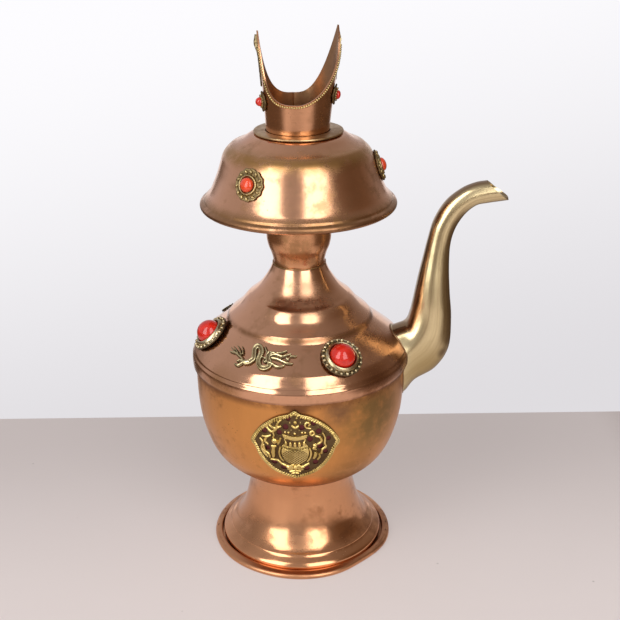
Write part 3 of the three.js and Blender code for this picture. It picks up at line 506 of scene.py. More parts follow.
# COLLAR
# The parasol: an inverted spun bowl with a wide rolled brim, soldered to the top of the neck.
# Tarnish is left on and above the brim and in the crease under the crown. It is tinned inside.
COLLAR_SHEET = 0.7
collar_copper = copper_finish(
    "collar_copper",
    (0.79, 0.425, 0.25),
    (0.45, 0.24, 0.11),
    rough=0.19,
    tarnish=0.5,
    tarnish_and_shade_bands=(
        (238, 6, (0.42, 0.23, 0.07)),
        (210.6, 4.5, (0.34, 0.18, 0.07)),
        (208, 3.2, (0.28, 0.14, 0.065)),
    ),
)
flank_line = eased(
    [
        (50.7, 211.3),
        (47.8, 214.5),
        (45.6, 219.0),
        (43.4, 224.5),
        (41.5, 230.3),
        (40.1, 234.6),
        (38.3, 237.5),
        (35.6, 240.1),
    ]
)
collar_line = [
    *rolled(51.2, 208.2, 1.9, -200, 70),
    (51.1, 210.3),
    (50.75, 210.7),
    *flank_line,
    (34.4, 240.6),
    *eased([(33.2, 241.0), (29.4, 242.9), (25.7, 245.3), (23.4, 246.1)], 3),
    (18.1, NECK_TOP),
]
collar = spun("collar_parasol", collar_line)
hammered(collar, 0.15, 30)
shaped(collar, "SOLIDIFY", thickness=COLLAR_SHEET * MM, offset=-1)
smoothed(collar)
dress(collar, collar_copper, "copper", "vase", "collar")
collar_lining = copper_finish(
    "collar_lining_tinned",
    (0.74, 0.62, 0.52),
    (0.56, 0.44, 0.34),
    rough=0.5,
    tarnish=0.6,
)
collar.data.materials.append(collar_lining)
for face in collar.data.polygons:
    outward = face.center.xy.dot(face.normal.xy) / face.center.xy.length
    face.material_index = 1 if outward < 0.1 and face.normal.z < 0.2 else 0


# CROWN TUBE
# A copper tube whose stem stands loose in the neck. Above the flange it flares into two horns,
# cut by eye with snips, so that the left one is slimmer. The sheet laps over itself at the back.
NOTCH, TIP = 263.5, 299.8
LEFT_SHARE = 0.965
FLANGE_TOP = 247.6
STEM_RADIUS, STEM_FOOT, STEM_TOP = 16.25, 216.6, 245.8
TUBE_RADIUS, FLARE, SWAY = 16.8, 5.4, 1.6
TUBE_FLATS, TUBE_ROWS = 240, 18
LEFT_TIP, RIGHT_TIP, BACK_NOTCH = -90, 114, 184
LEFT_FRONT_POWER, LEFT_BACK_POWER = 3.6, 2.9
RIGHT_FRONT_POWER, RIGHT_BACK_POWER = 1.75, 2.4
LAP, LAP_WIDTH, LAP_STEP = 189, 9, 0.3


def rim_height(azimuth):
    """Height of the crown's cut at an azimuth from -180 to 180."""
    from_back = azimuth % 360 - BACK_NOTCH
    if LEFT_TIP <= azimuth < 0:
        share, power = azimuth / LEFT_TIP, LEFT_FRONT_POWER
    elif 0 <= azimuth <= RIGHT_TIP:
        share, power = azimuth / RIGHT_TIP, RIGHT_FRONT_POWER
    elif from_back > 0:
        share, power = from_back / (LEFT_TIP + 360 - BACK_NOTCH), LEFT_BACK_POWER
    else:
        share, power = from_back / (RIGHT_TIP - BACK_NOTCH), RIGHT_BACK_POWER
    reach = (TIP - NOTCH) * (LEFT_SHARE if azimuth < 0 or azimuth > BACK_NOTCH else 1)
    return NOTCH + reach * share**power


def crown_point(azimuth, height, off=0.0):
    """A point on the crown's outer face, in metres, as far off it as asked."""
    rise = max((height - FLANGE_TOP) / (TIP - FLANGE_TOP), 0)
    radius = TUBE_RADIUS + FLARE * rise**1.2 + off
    angle = math.radians(azimuth)
    aside = radius * math.sin(angle) + SWAY * rise
    return Vector((aside, -radius * math.cos(angle), height)) * MM


crown_copper = copper_finish(
    "crown_copper",
    (0.77, 0.4, 0.22),
    (0.4, 0.2, 0.09),
    rough=0.2,
    tarnish=0.6,
)
crown_lining = copper_finish(
    "crown_lining",
    (0.48, 0.26, 0.13),
    (0.29, 0.16, 0.075),
    rough=0.32,
    tarnish=0.7,
)
crown_line = [(STEM_RADIUS, STEM_FOOT), (STEM_RADIUS, STEM_TOP)]
for row in range(TUBE_ROWS + 1):
    crown_line.append((TUBE_RADIUS, FLANGE_TOP + (TIP - FLANGE_TOP) * row / TUBE_ROWS))
crown = spun("crown_tube_flared", crown_line, TUBE_FLATS)
for vertex in crown.data.vertices:
    share = (vertex.co.z / MM - FLANGE_TOP) / (TIP - FLANGE_TOP)
    if share > -0.01:
        azimuth = azimuth_of(vertex.co)
        lap = LAP_STEP * max(1 - (azimuth - LAP) % 360 / LAP_WIDTH, 0)
        height = FLANGE_TOP + (rim_height(azimuth) - FLANGE_TOP) * share
        vertex.co = crown_point(azimuth, height, lap)
shaped(crown, "SOLIDIFY", thickness=SHEET * MM, offset=-1)
smoothed(crown)
dress(crown, crown_copper, "copper", "crown", "crown_tube")
crown.data.materials.append(crown_lining)
for face in crown.data.polygons:
    outward = face.center.xy.dot(face.normal.xy) / face.center.xy.length
    face.material_index = 1 if outward < -0.5 and face.center.z > FLANGE_TOP * MM else 0


# CROWN FLANGE
# A brass ring, cut by hand and a little wavy, that rests on the collar and stops the crown.
def brass_finish(name, bright, dull, rough=0.28, relief=None, deep=(0.05, 0.03, 0.016), lattice=0):
    """Cast or stamped brass: clouds of olive tarnish, fine pits and rubbed high places. Grime and
    painted shade lie in the low places of a relief, whose low and high are given in millimetres."""
    brass = Finish(name, Metallic=1.0)
    clouds = brass.clouds(brass.place, 75, 4.0, 0.6, 0.3)
    grains = brass.clouds(brass.place, 450, 3.0, 0.6)
    dulled = (clouds + (grains - 0.5) * 0.5).above(0.36, 0.68)
    pits = brass.dots(520, 0.16) * clouds.above(0.45, 0.6)
    colour = brass.blend(dulled, bright, dull)
    colour = brass.blend(pits * 0.8, colour, deep)
    roughness = rough + dulled * 0.12 + (grains - 0.5) * 0.2
    if relief:
        flat = brass.node("ShaderNodeAttribute", {"attribute_name": "flat"}, {}, "Vector")
        height = brass.node("ShaderNodeSeparateXYZ", {}, {"Vector": flat}, "Z")
        low, high = relief
        # Grime and painted shade: the low places of the relief are darkened towards the deep colour.
        grime_and_shade = (height + (grains - 0.5) * 0.4 * MM).above(high * MM, low * MM)
        if lattice:
            grime_and_shade = brass.lattice_share(flat, lattice).math("MAXIMUM", grime_and_shade)
        colour = brass.blend(grime_and_shade * 0.88, colour, deep)
        roughness = roughness + grime_and_shade * 0.3
    brass.vary(colour, roughness, bumps=((grains, 0.05, 0.4), (clouds, 0.4, 0.15), (pits, -0.1, 0.4)))
    return brass.material


flange_brass = brass_finish("flange_brass", (0.6, 0.42, 0.22), (0.4, 0.25, 0.12), rough=0.34)
flange_line = [
    (17.1, 246.5),
    (23.3, 246.45),
    (23.75, 246.65),
    (23.85, 247.05),
    (23.7, 247.4),
    (23.3, 247.6),
    (17.2, 247.6),
    (17.1, 246.5),
]
flange = spun("crown_flange_ring", flange_line)
for vertex in flange.data.vertices:
    level = vertex.co.xy.to_3d()
    wave = noise.noise(level / (9 * MM)) * 0.22
    shift = 0.4 * MM * (level.length / MM > 20)
    vertex.co += level * wave * 0.012 + Vector((shift, 0, wave * 0.6 * MM))
smoothed(flange)
dress(flange, flange_brass, "brass", "crown", "crown_flange")


# CROWN WIRE
# Beaded brass wire, soldered just outside the front cut of the crown, almost from tip to tip.
BEAD = 0.62
BEAD_PITCH = 1.24
WIRE_DROP = 0.8
WIRE_LEFT_END, WIRE_RIGHT_END = LEFT_TIP * 0.93, RIGHT_TIP * 0.87


def repeated(piece, places):
    """Copies of a piece at the given places, joined into one piece."""
    copies = []
    for place in places:
        copy = piece.copy()
        copy.data = piece.data.copy()
        bpy.context.collection.objects.link(copy)
        copy.matrix_world = place
        copies.append(copy)
    name = piece.name
    bpy.data.objects.remove(piece)
    only(copies[0])
    for copy in copies:
        copy.select_set(True)
    bpy.ops.object.join()
    copies[0].name = name
    settle(copies[0])
    return copies[0]


def ball(name, radius, detail=2):
    bpy.ops.object.select_all(action="DESELECT")
    bpy.ops.mesh.primitive_ico_sphere_add(subdivisions=detail, radius=radius * MM)
    piece = bpy.context.object
    piece.name = name
    return piece


wire_brass = brass_finish("wire_brass", (0.74, 0.57, 0.26), (0.44, 0.32, 0.14), rough=0.22)
bead_places = []
azimuth = WIRE_LEFT_END
while azimuth < WIRE_RIGHT_END:
    climb = min(abs(rim_height(azimuth + 0.5) - rim_height(azimuth - 0.5)) / 1.2, 1)
    ahead = math.copysign(1.6 * climb, -azimuth)
    off = BEAD + 0.1 - 0.8 * climb
    spot = crown_point(azimuth + ahead, rim_height(azimuth) - WIRE_DROP, off)
    if not bead_places or (spot - bead_places[-1].translation).length > BEAD_PITCH * MM:
        bead_places.append(Matrix.Translation(spot))
    azimuth += 0.1
bead = ball("crown_wire_beaded", BEAD)
wire = repeated(bead, bead_places)
smoothed(wire, 80)
dress(wire, wire_brass, "gilt_brass", "crown", "crown_wire")


# HORN LEAVES
# Stamped brass leaves, soldered to the outer faces of the horns. Each has a rib, slanted veins, a
# ragged edge and a swelling near its tip.
LEAF_TOP, LEAF_HALF = 296.5, 2.9
LEAF_SHEET = 0.3
HORN_RADIUS = 19
VEIN_PITCH, VEIN_SLANT = 2.8, 1.4
leaf_brass = brass_finish("leaf_brass", (0.56, 0.45, 0.24), (0.34, 0.27, 0.14), 0.3, (-0.1, 0.4))
leaf_shares = eased([(0, 0.3), (1, 0.62), (2, 0.88), (3, 0.7), (4, 0.9), (5, 0.62), (6, 0.42), (7, 0.12)])


def horn_leaf(name, bottom, tip, front_power, back_power):
    bpy.ops.object.select_all(action="DESELECT")
    bpy.ops.mesh.primitive_grid_add(x_subdivisions=12, y_subdivisions=60, size=2)
    piece = bpy.context.object
    piece.name = name
    back_notch = BACK_NOTCH - 360 if tip < 0 else BACK_NOTCH
    heights = []
    feet = []
    for vertex in piece.data.vertices:
        across, along = vertex.co.x, (vertex.co.y + 1) / 2
        height = bottom + (LEAF_TOP - bottom) * along
        rise = (height - NOTCH) / (TIP - NOTCH)
        front = tip * rise ** (1 / front_power)
        back = back_notch + (tip - back_notch) * rise ** (1 / back_power)
        middle = (front + math.copysign(5, tip) + back) / 2
        width = LEAF_HALF * leaf_shares[round(along * (len(leaf_shares) - 1))][1]
        slant = height - VEIN_SLANT * abs(across) * width
        vein = 0.5 + 0.5 * math.cos(2 * math.pi * slant / VEIN_PITCH)
        relief = 0.25 + 0.75 * (1 - abs(across)) ** 1.5 + 0.25 * vein * min(4 * abs(across), 1)
        width *= 1 + 0.12 * vein
        relief += 1.2 * hump(along, 0.83, 0.13)
        azimuth = middle + math.degrees(across * width / HORN_RADIUS)
        vertex.co = crown_point(azimuth, height, relief)
        heights.append(relief - LEAF_SHEET)
        feet.append(crown_point(azimuth, height, -0.1))
    flat = piece.data.attributes.new("flat", "FLOAT_VECTOR", "POINT")
    flat.data.foreach_set("vector", [part for height in heights for part in (0, 0, height * MM)])
    shaped(piece, "SOLIDIFY", thickness=LEAF_SHEET * MM, offset=-1)
    for vertex, place in zip(piece.data.vertices[len(feet) :], feet):
        vertex.co = place
    smoothed(piece)
    return piece


left_leaf = horn_leaf("horn_leaf_stamped_left", 270, LEFT_TIP, LEFT_FRONT_POWER, LEFT_BACK_POWER)
dress(left_leaf, leaf_brass, "brass", "crown", "horn_leaf_left")
right_leaf = horn_leaf("horn_leaf_stamped_right", 272.8, RIGHT_TIP, RIGHT_FRONT_POWER, RIGHT_BACK_POWER)
dress(right_leaf, leaf_brass, "brass", "crown", "horn_leaf_right")


# SPOUT
# A tapered brass tube, cast hollow and filed, that leaves the body in a wide elbow, rises almost
# straight and turns over at an oblique mouth. Its sides are filed a little flat.
SPOUT_WALL = 1.5
SPOUT_FLATS = 72


def spout_finish():
    """Cast brass with streaks from the file, and painted shade in brown along its inner and outer sides."""
    brass = Finish("spout_brass", Metallic=1.0)
    side = brass.node("ShaderNodeAttribute", {"attribute_name": "side"}, {}, "Fac")
    along = brass.node("ShaderNodeCombineXYZ", {}, {"X": side * 5, "Y": brass.y * 60, "Z": brass.z * 9})
    streaks = brass.clouds(along, 1.3, 4.0, 0.6)
    clouds = brass.clouds(brass.place, 40, 4.0, 0.6, 0.3)
    grains = brass.clouds(brass.place, 500, 2.0)
    colour = brass.blend(streaks.above(0.4, 0.66) * 0.7, (0.84, 0.69, 0.4), (0.6, 0.46, 0.25))
    colour = brass.blend(clouds.above(0.52, 0.66) * 0.45, colour, (0.52, 0.4, 0.2))
    # Painted shade: dark brown along the side of the spout that faces the body, and brown along its outer
    # side.
    inner = (side + (clouds - 0.5) * 0.3).above(0.7, 0.95)
    outer = (side + (clouds - 0.5) * 0.3).above(-0.45, -0.95)
    colour = brass.blend(inner * 0.85, colour, (0.24, 0.13, 0.065))
    colour = brass.blend(outer * 0.75, colour, (0.26, 0.17, 0.085))
    colour = brass.blend(brass.near(74, -9, 108, 27) * 0.8, colour, (0.43, 0.31, 0.13))
    colour = brass.blend(brass.near(80.5, -9.5, 121, 5) * 0.8, colour, (0.16, 0.1, 0.05))
    brass.vary(
        colour,
        0.14 + streaks * 0.12 + clouds * 0.08,
        bumps=((streaks, 0.12, 0.25), (grains, 0.03, 0.3)),
    )
    return brass.material


# Each row gives the spout's upper edge and its lower edge, both as (radius, height), and its half width.
spout_rows = eased(
    [
        (47.0, 132.5, 50.0, 88.0, 14.0),
        (54.6, 134.8, 59.5, 94.5, 13.5),
        (60.0, 137.4, 65.5, 102.0, 12.6),
        (62.0, 143.0, 77.1, 109.3, 12.0),
        (63.3, 149.5, 84.4, 121.8, 11.3),
        (64.7, 157.4, 85.2, 140.0, 10.5),
        (66.2, 165.5, 83.8, 155.0, 9.3),
        (68.2, 175.0, 82.8, 170.0, 7.8),
        (70.5, 185.9, 83.0, 183.0, 6.6),
        (73.5, 197.0, 85.4, 192.5, 6.2),
        (79.5, 207.3, 90.2, 200.4, 6.2),
        (88.0, 214.3, 96.0, 205.2, 6.2),
        (95.5, 217.5, 102.0, 206.5, 6.3),
        (101.3, 218.4, 113.3, 208.1, 6.7),
    ]
)


def flattened(wave, power):
    """A sine or cosine, drawn towards a square wave by a power under 1."""
    return math.copysign(abs(wave) ** power, wave)


def spout_point(row, turn):
    """A point on the spout's outer face in metres; turn goes round it from its upper edge."""
    upper_out, upper_up, lower_out, lower_up, half_width = row
    share = (1 + flattened(math.cos(turn), 0.94)) / 2
    out = lower_out + (upper_out - lower_out) * share
    up = lower_up + (upper_up - lower_up) * share
    aside = -half_width * flattened(math.sin(turn), 0.84)
    return Vector((out, aside, up)) * MM


spout = spun("spout_cast", [(10, row) for row in range(len(spout_rows))], SPOUT_FLATS)
sides = []
for vertex in spout.data.vertices:
    turn = math.atan2(vertex.co.y, vertex.co.x)
    vertex.co = spout_point(spout_rows[round(vertex.co.z / MM)], turn)
    sides.append(math.cos(turn))
side = spout.data.attributes.new("side", "FLOAT", "POINT")
side.data.foreach_set("value", sides)
only(spout)
open_mesh()
close_mesh()
shaped(spout, "SOLIDIFY", thickness=SPOUT_WALL * MM, offset=-1)
body_line = [point for point in eased(bowl_wall) if 60 < point[1] < 115]
body_line = [(AXIS, 60.0), *body_line, *(point for point in shoulder_line if point[1] < 156)]
body_core = spun("body_core", [*body_line, (AXIS, 156.4)])
shaped(spout, "BOOLEAN", operation="DIFFERENCE", solver="EXACT", object=body_core)
bpy.data.objects.remove(body_core)
smoothed(spout)
dress(spout, spout_finish(), "brass", "vase", "spout")


# SPOUT SOLDER
# A dark fillet of solder and flux, run round the foot of the spout where it meets the body.
def from_curve(name, lines, closed, **settings):
    """A mesh made from a curve along lines of (place in metres, thickness)."""
    curve = bpy.data.curves.new(name, "CURVE")
    for setting, value in settings.items():
        setattr(curve, setting, value)
    for line in lines:
        spline = curve.splines.new("POLY")
        spline.points.add(len(line) - 1)
        spline.use_cyclic_u = closed
        for point, (place, thickness) in zip(spline.points, line):
            point.co = (*place, 1)
            point.radius = thickness
    piece = bpy.data.objects.new(name, curve)
    bpy.context.collection.objects.link(piece)
    only(piece)
    bpy.ops.object.convert(target="MESH")
    return bpy.context.object


def drawn(name, lines, closed=False):
    """Round strands along lines of (place in metres, radius in millimetres), as one mesh."""
    return from_curve(
        name,
        lines,
        closed,
        dimensions="3D",
        bevel_depth=MM,
        bevel_resolution=3,
        use_fill_caps=True,
    )


def body_radius(height):
    """The body's outer radius at a height, in millimetres."""
    for (radius, low), (next_radius, high) in zip(body_line, body_line[1:]):
        if low <= height <= high and high > low:
            return radius + (next_radius - radius) * (height - low) / (high - low)
    return 0


SEAM_STEPS = 96
solder_finish = copper_finish("solder", (0.34, 0.21, 0.11), (0.12, 0.07, 0.04), rough=0.4, tarnish=0.6)
seam = []
for i in range(SEAM_STEPS):
    turn = 2 * math.pi * i / SEAM_STEPS
    for row in spout_rows:
        spot = spout_point(row, turn)
        clear = spot.xy.length / MM - body_radius(spot.z / MM) - 0.1
        if clear > 0:
            break
        buried_spot, buried = spot, clear
    spot = buried_spot.lerp(spot, buried / (buried - clear))
    seam.append((spot, 0.45 + 0.25 * noise.noise(spot / (6 * MM))))
solder = drawn("spout_solder", [seam], closed=True)
smoothed(solder, 80)
dress(solder, solder_finish, "brass", "vase")


# SHOULDER SETTINGS
# Brass plates seated on the slope, each with a ring of beads and a plain bezel round its stone.
def across_at(azimuth):
    """The direction that runs level across the vase at an azimuth."""
    return Vector((math.cos(math.radians(azimuth)), math.sin(math.radians(azimuth)), 0))


def seat(middle, azimuth, up):
    """A place whose x axis runs level across the vase, its y axis up and its z axis off it."""
    across = across_at(azimuth)
    turned = Matrix((across, up, across.cross(up))).transposed()
    return Matrix.Translation(middle) @ turned.to_4x4()


class Shell:
    """The outline of a spun piece, on which flat ornaments are laid by their lengths along it."""

    def __init__(self, outline):
        self.points = [Vector(point) for point in outline]
        self.reached = [0]
        for a, b in zip(self.points, self.points[1:]):
            self.reached.append(self.reached[-1] + (b - a).length)
        steps = [b - a for a, b in zip(self.points, self.points[1:])]
        sums = [a + b for a, b in zip([steps[0], *steps], [*steps, steps[-1]])]
        self.normals = [Vector((step.y, -step.x)).normalized() for step in sums]

    def length_at(self, height):
        i = next(i for i, point in enumerate(self.points) if point.y > height)
        a, b = self.points[i - 1], self.points[i]
        return self.reached[i - 1] + (b - a).length * (height - a.y) / (b.y - a.y)

    def spot(self, across, along, off, azimuth):
        """The place in metres of a point given by its lengths across, along and off the shell."""
        i = next((i for i, reached in enumerate(self.reached) if reached > along), len(self.points) - 1)
        i = max(i, 1)
        share = (along - self.reached[i - 1]) / (self.reached[i] - self.reached[i - 1])
        point = self.points[i - 1].lerp(self.points[i], share)
        normal = self.normals[i - 1].lerp(self.normals[i], share).normalized()
        turn = math.radians(azimuth) + across / point.x
        place = point + normal * off
        return Vector((place.x * math.sin(turn), -place.x * math.cos(turn), place.y)) * MM

    def foothold(self, height, azimuth, reach, gap=0.3):
        """A frame for a stiff ornament that reaches so far each way, with its z axis off the shell."""
        start = self.length_at(height)
        feet = [self.spot(0, start + reach * (i / 6 - 1), gap, azimuth) for i in range(13)]
        up = (feet[-1] - feet[0]).normalized()
        out = across_at(azimuth).cross(up)
        middle = feet[6] + out * max((foot_spot - feet[6]).dot(out) for foot_spot in feet)
        return seat(middle, azimuth, up)


def remember_flat(piece):
    """Keeps a piece's flat shape as an attribute, for its finish, before it goes to its place."""
    flat = piece.data.attributes.new("flat", "FLOAT_VECTOR", "POINT")
    flat.data.foreach_set("vector", [part for vertex in piece.data.vertices for part in vertex.co])


def joined(name, *pieces):
    only(pieces[0])
    for piece in pieces:
        piece.select_set(True)
    bpy.ops.object.join()
    pieces[0].name = name
    return pieces[0]


def moved(piece, place):
    piece.matrix_world = place
    settle(piece)
    return piece


def ring_of(piece, count, radius, height, slant=0.0, jitter=0.0):
    """Copies of a piece round a ring, each turned with it and by a slant, and a little uneven."""
    places = []
    for i in range(count):
        angle = 360 * (i + jitter * noise.noise(Vector((i * 1.7, radius, height)))) / count
        size = 1 + jitter * noise.noise(Vector((radius, i * 2.3, height)))
        turned = Matrix.Rotation(math.radians(angle), 4, "Z")
        outward = turned @ Matrix.Translation((radius * MM, 0, height * MM))
        slanted = outward @ Matrix.Rotation(math.radians(slant), 4, "Z")
        places.append(slanted @ Matrix.Scale(size, 4))
    return repeated(piece, places)


def drop(name, length, width, height, detail=2):
    """A long bead along its x axis."""
    piece = ball(name, 1, detail)
    open_mesh()
    bpy.ops.transform.resize(value=(length, width, height), center_override=(0, 0, 0))
    bpy.ops.object.mode_set(mode="OBJECT")
    return piece


def coral_stone(name, radius, rise, foot_height):
    """A domed cabochon, whose polish and faint cloudy veins come from coral_finish."""
    line = [(radius * 0.95, foot_height)]
    for degrees in range(0, 91, 9):
        turn = math.radians(degrees)
        out, up = radius * math.cos(turn), math.sin(turn)
        line.append((max(out, AXIS), foot_height + 1 + (rise - 1) * up))
    stone = spun(name, line, 64, capped=True)
    smoothed(stone, 50)
    return stone


def coral_finish(name, colour):
    coral = Finish(name, Coat_Weight=0.5, Coat_Roughness=0.06, IOR=1.5)
    veins = coral.clouds(coral.place, 160, 4.0, 0.6, 0.8)
    spots = coral.clouds(coral.place, 620, 3.0, 0.6)
    shade = coral.blend(veins.above(0.35, 0.7), colour, [part * 0.75 for part in colour])
    shade = coral.blend(spots.above(0.6, 0.75) * 0.25, shade, (0.8, 0.12, 0.05))
    coral.vary(shade, 0.08 + spots * 0.12, bumps=((veins, 0.1, 0.12),))
    return coral.material


SETTING_BEADS, SETTING_RIPPLES = 22, 22
slope_shell = Shell(shoulder_line)
setting_brass = brass_finish("setting_brass", (0.7, 0.6, 0.38), (0.42, 0.33, 0.18), 0.24, (0.85, 1.6))
deep_coral = coral_finish("deep_coral", (0.66, 0.022, 0.01))
bezel_line = [
    (10.9, 0),
    (11.25, 0.3),
    (11.35, 0.8),
    (11.1, 1.2),
    (10.8, 1.1),
    (9.9, 0.9),
    (9.6, 1.0),
    *eased([(9.35, 1.3), (9.2, 1.9), (8.7, 2.6), (8.1, 3.1), (7.7, 3.1), (7.35, 2.6), (7.2, 1.6)], 3),
    (7.1, 0.9),
    (AXIS, 0.8),
]
for number, azimuth, height, tilt in ((1, 25.8, 135.0, 5), (2, -78, 134.6, 0), (3, 162, 134.6, 0)):
    plate = spun(f"shoulder_setting_beaded_{number}", bezel_line, 88, capped=True)
    for vertex in plate.data.vertices:
        edge = max(vertex.co.xy.length / MM - 10.5, 0)
        ripple = math.cos(SETTING_RIPPLES * math.atan2(vertex.co.y, vertex.co.x))
        vertex.co.xy *= 1 + edge * (0.012 * ripple + 0.02 * noise.noise(vertex.co / (3 * MM)))
    beads = ring_of(drop("beads", 0.92, 0.92, 1.0), SETTING_BEADS, 10.35, 1.4, jitter=0.24)
    setting = joined(plate.name, plate, beads)
    remember_flat(setting)
    place = slope_shell.foothold(height, azimuth, 11.4) @ Matrix.Rotation(math.radians(-tilt), 4, "X")
    moved(setting, place)
    smoothed(setting, 60)
    dress(setting, setting_brass, "brass", "vase", f"shoulder_setting_{number}")
    stone = coral_stone(f"shoulder_coral_domed_{number}", 6.9, 7.8, 0.9)
    moved(stone, place)
    dress(stone, deep_coral, "coral", "vase", f"shoulder_coral_{number}")


# COLLAR SETTINGS
# Smaller plates with a scalloped edge, slanted beads and a narrow cup round a more orange stone.
def scalloped(plate, start, depth, count):
    """Draws the edge of a round plate in and out, beyond a radius."""
    for vertex in plate.data.vertices:
        edge = max(vertex.co.xy.length / MM - start, 0)
        vertex.co.xy *= 1 + edge * depth * math.cos(count * math.atan2(vertex.co.y, vertex.co.x))


def laid(piece, shell, height, azimuth, gap):
    """Bends a flat piece on to a shell, with its middle at a height."""
    start = shell.length_at(height)
    for vertex in piece.data.vertices:
        across, along, off = vertex.co / MM
        vertex.co = shell.spot(across, start + along, off + gap, azimuth)


COLLAR_STONE, COLLAR_STONE_HEIGHT, COLLAR_GAP = 3.7, 227.3, 0.15
COLLAR_SCALLOPS = 13
collar_shell = Shell([(50.75, 210.7), *flank_line])
collar_brass = brass_finish(
    "collar_brass",
    (0.56, 0.43, 0.2),
    (0.34, 0.25, 0.11),
    rough=0.28,
    relief=(0.7, 1.4),
    deep=(0.15, 0.1, 0.05),
)
bright_coral = coral_finish("bright_coral", (0.78, 0.07, 0.018))
cup_line = [
    (8.0, 0),
    (8.35, 0.35),
    (8.4, 0.8),
    (8.1, 1.15),
    (7.7, 1.1),
    (6.6, 0.8),
    (5.7, 0.95),
    *eased([(5.35, 1.3), (5.3, 1.9), (5.0, 2.3), (4.6, 2.35), (4.3, 2.1), (4.1, 1.6)], 3),
    (3.9, 1.0),
    (AXIS, 0.9),
]
for number, azimuth in enumerate((-35.5, 91, 206), 1):
    plate = spun(f"collar_setting_scalloped_{number}", cup_line, 96, capped=True)
    scalloped(plate, 6.9, 0.018, COLLAR_SCALLOPS)
    beads = ring_of(drop("beads", 1.25, 0.7, 0.85), COLLAR_SCALLOPS, 6.9, 1.25, slant=38, jitter=0.2)
    setting = joined(plate.name, plate, beads)
    remember_flat(setting)
    laid(setting, collar_shell, COLLAR_STONE_HEIGHT, azimuth, COLLAR_GAP)
    smoothed(setting, 60)
    dress(setting, collar_brass, "brass", "vase", f"collar_setting_{number}")
    stone = coral_stone(f"collar_coral_domed_{number}", COLLAR_STONE, 3.4, 1.2)
    moved(stone, collar_shell.foothold(COLLAR_STONE_HEIGHT, azimuth, COLLAR_STONE, COLLAR_GAP))
    dress(stone, bright_coral, "coral", "vase", f"collar_coral_{number}")


# CROWN SETTINGS
# A plain washer with a wavy edge at each side of the crown, with a small cup of beads and a stone.
washer_line = [
    (4.9, 0),
    (5.2, 0.3),
    (5.15, 0.7),
    (4.8, 0.9),
    (3.4, 0.85),
    (3.1, 1.1),
    (2.9, 1.5),
    (2.6, 1.6),
    (2.35, 1.3),
    (2.25, 0.8),
    (AXIS, 0.7),
]
WASHER_GAP, WASHER_REACH = 0.3, 5
TUBE_RADIUS_THERE = 18.5
for side, azimuth, height, rise in (("left", -79, 263.2, 3.3), ("right", 83, 266.3, 2.5)):
    plate = spun(f"crown_setting_washer_{side}", washer_line, 72, capped=True)
    scalloped(plate, 3.8, 0.035, 8)
    beads = ring_of(drop("beads", 0.5, 0.5, 0.5), 14, 3.05, 1.35, jitter=0.15)
    setting = joined(plate.name, plate, beads)
    remember_flat(setting)
    for vertex in setting.data.vertices:
        across, along, out = vertex.co / MM
        turned = azimuth + math.degrees(across / TUBE_RADIUS_THERE)
        vertex.co = crown_point(turned, height + along, WASHER_GAP + out)
    smoothed(setting, 60)
    dress(setting, collar_brass, "brass", "crown", f"crown_setting_{side}")
    below = crown_point(azimuth, height - WASHER_REACH, WASHER_GAP)
    above = crown_point(azimuth, height + WASHER_REACH, WASHER_GAP)
    stone = coral_stone(f"crown_coral_domed_{side}", 2.35, rise, 0.9)
    moved(stone, seat((below + above) / 2, azimuth, (above - below).normalized()))
    dress(stone, deep_coral, "coral", "crown", f"crown_coral_{side}")


# DRAGONS
# Small cast dragons, flat behind and worn on their ridges, with grime and painted shade in their low
# places, soldered to the slope. The back one is a mirror image of the front one. Strokes run through
# (x, y, radius), from a dragon's middle.
DRAGON_HEIGHT, DRAGON_GAP = 136, 0.2


def strokes(name, lines, height, flatten=0.8):
    """Rounded strokes drawn through (x, y, radius) in millimetres, lying at a height."""
    runs = []
    for line in lines:
        runs.append([(Vector((x, y, height)) * MM, radius) for x, y, radius in eased(line, 5)])
    piece = drawn(name, runs)
    open_mesh()
    bpy.ops.transform.resize(value=(1, 1, flatten), center_override=(0, 0, height * MM))
    close_mesh(0.001 * MM)
    return piece


def fused(piece, grain, soften=2):
    """One closed skin over the strands of a piece, a little softened."""
    only(piece)
    piece.data.remesh_voxel_size = grain * MM
    bpy.ops.object.voxel_remesh()
    shaped(piece, "SMOOTH", factor=0.5, iterations=soften)


def pressed_flat(piece):
    """Flattens what lies below the back of a piece."""
    for vertex in piece.data.vertices:
        vertex.co.z = max(vertex.co.z, 0)


def widened(lines, factor):
    return [[(x, y, radius * factor) for x, y, radius in line] for line in lines]


def beside(line, off):
    """A stroke that runs beside another one, on its left for a positive distance."""
    moved_line = []
    for i, (x, y, radius) in enumerate(line):
        step = Vector(line[min(i + 1, len(line) - 1)][:2]) - Vector(line[max(i - 1, 0)][:2])
        aside = Vector((-step.y, step.x)).normalized() * off
        moved_line.append((x + aside.x, y + aside.y, radius))
    return moved_line


dragon_brass = brass_finish(
    "dragon_brass",
    (0.86, 0.74, 0.42),
    (0.5, 0.41, 0.2),
    rough=0.2,
    relief=(0.85, 1.4),
    deep=(0.12, 0.075, 0.037),
)
dragon_body = eased(
    [
        (-8.4, -5.4, 0.80),
        (-5.8, -4.5, 0.85),
        (-3.9, -2.0, 0.80),
        (-4.5, 0.9, 0.75),
        (-5.2, 3.8, 0.75),
        (-4.3, 5.6, 0.80),
        (-2.4, 5.3, 0.80),
        (-0.9, 3.1, 0.75),
        (-0.8, 0.6, 0.80),
        (-0.8, -2.0, 0.85),
        (0.1, -4.3, 0.85),
        (2.0, -6.0, 0.90),
        (4.3, -6.1, 0.85),
        (5.9, -4.8, 0.80),
        (5.8, -2.7, 0.75),
        (4.3, -0.9, 0.75),
        (3.6, 1.4, 0.70),
        (4.1, 3.5, 0.55),
    ],
    3,
)
dragon_ridges = [beside(dragon_body, side) for side in (-0.9, 0.9)]
dragon_ridges = [[(x, y, 0.45) for x, y, radius in line] for line in dragon_ridges]
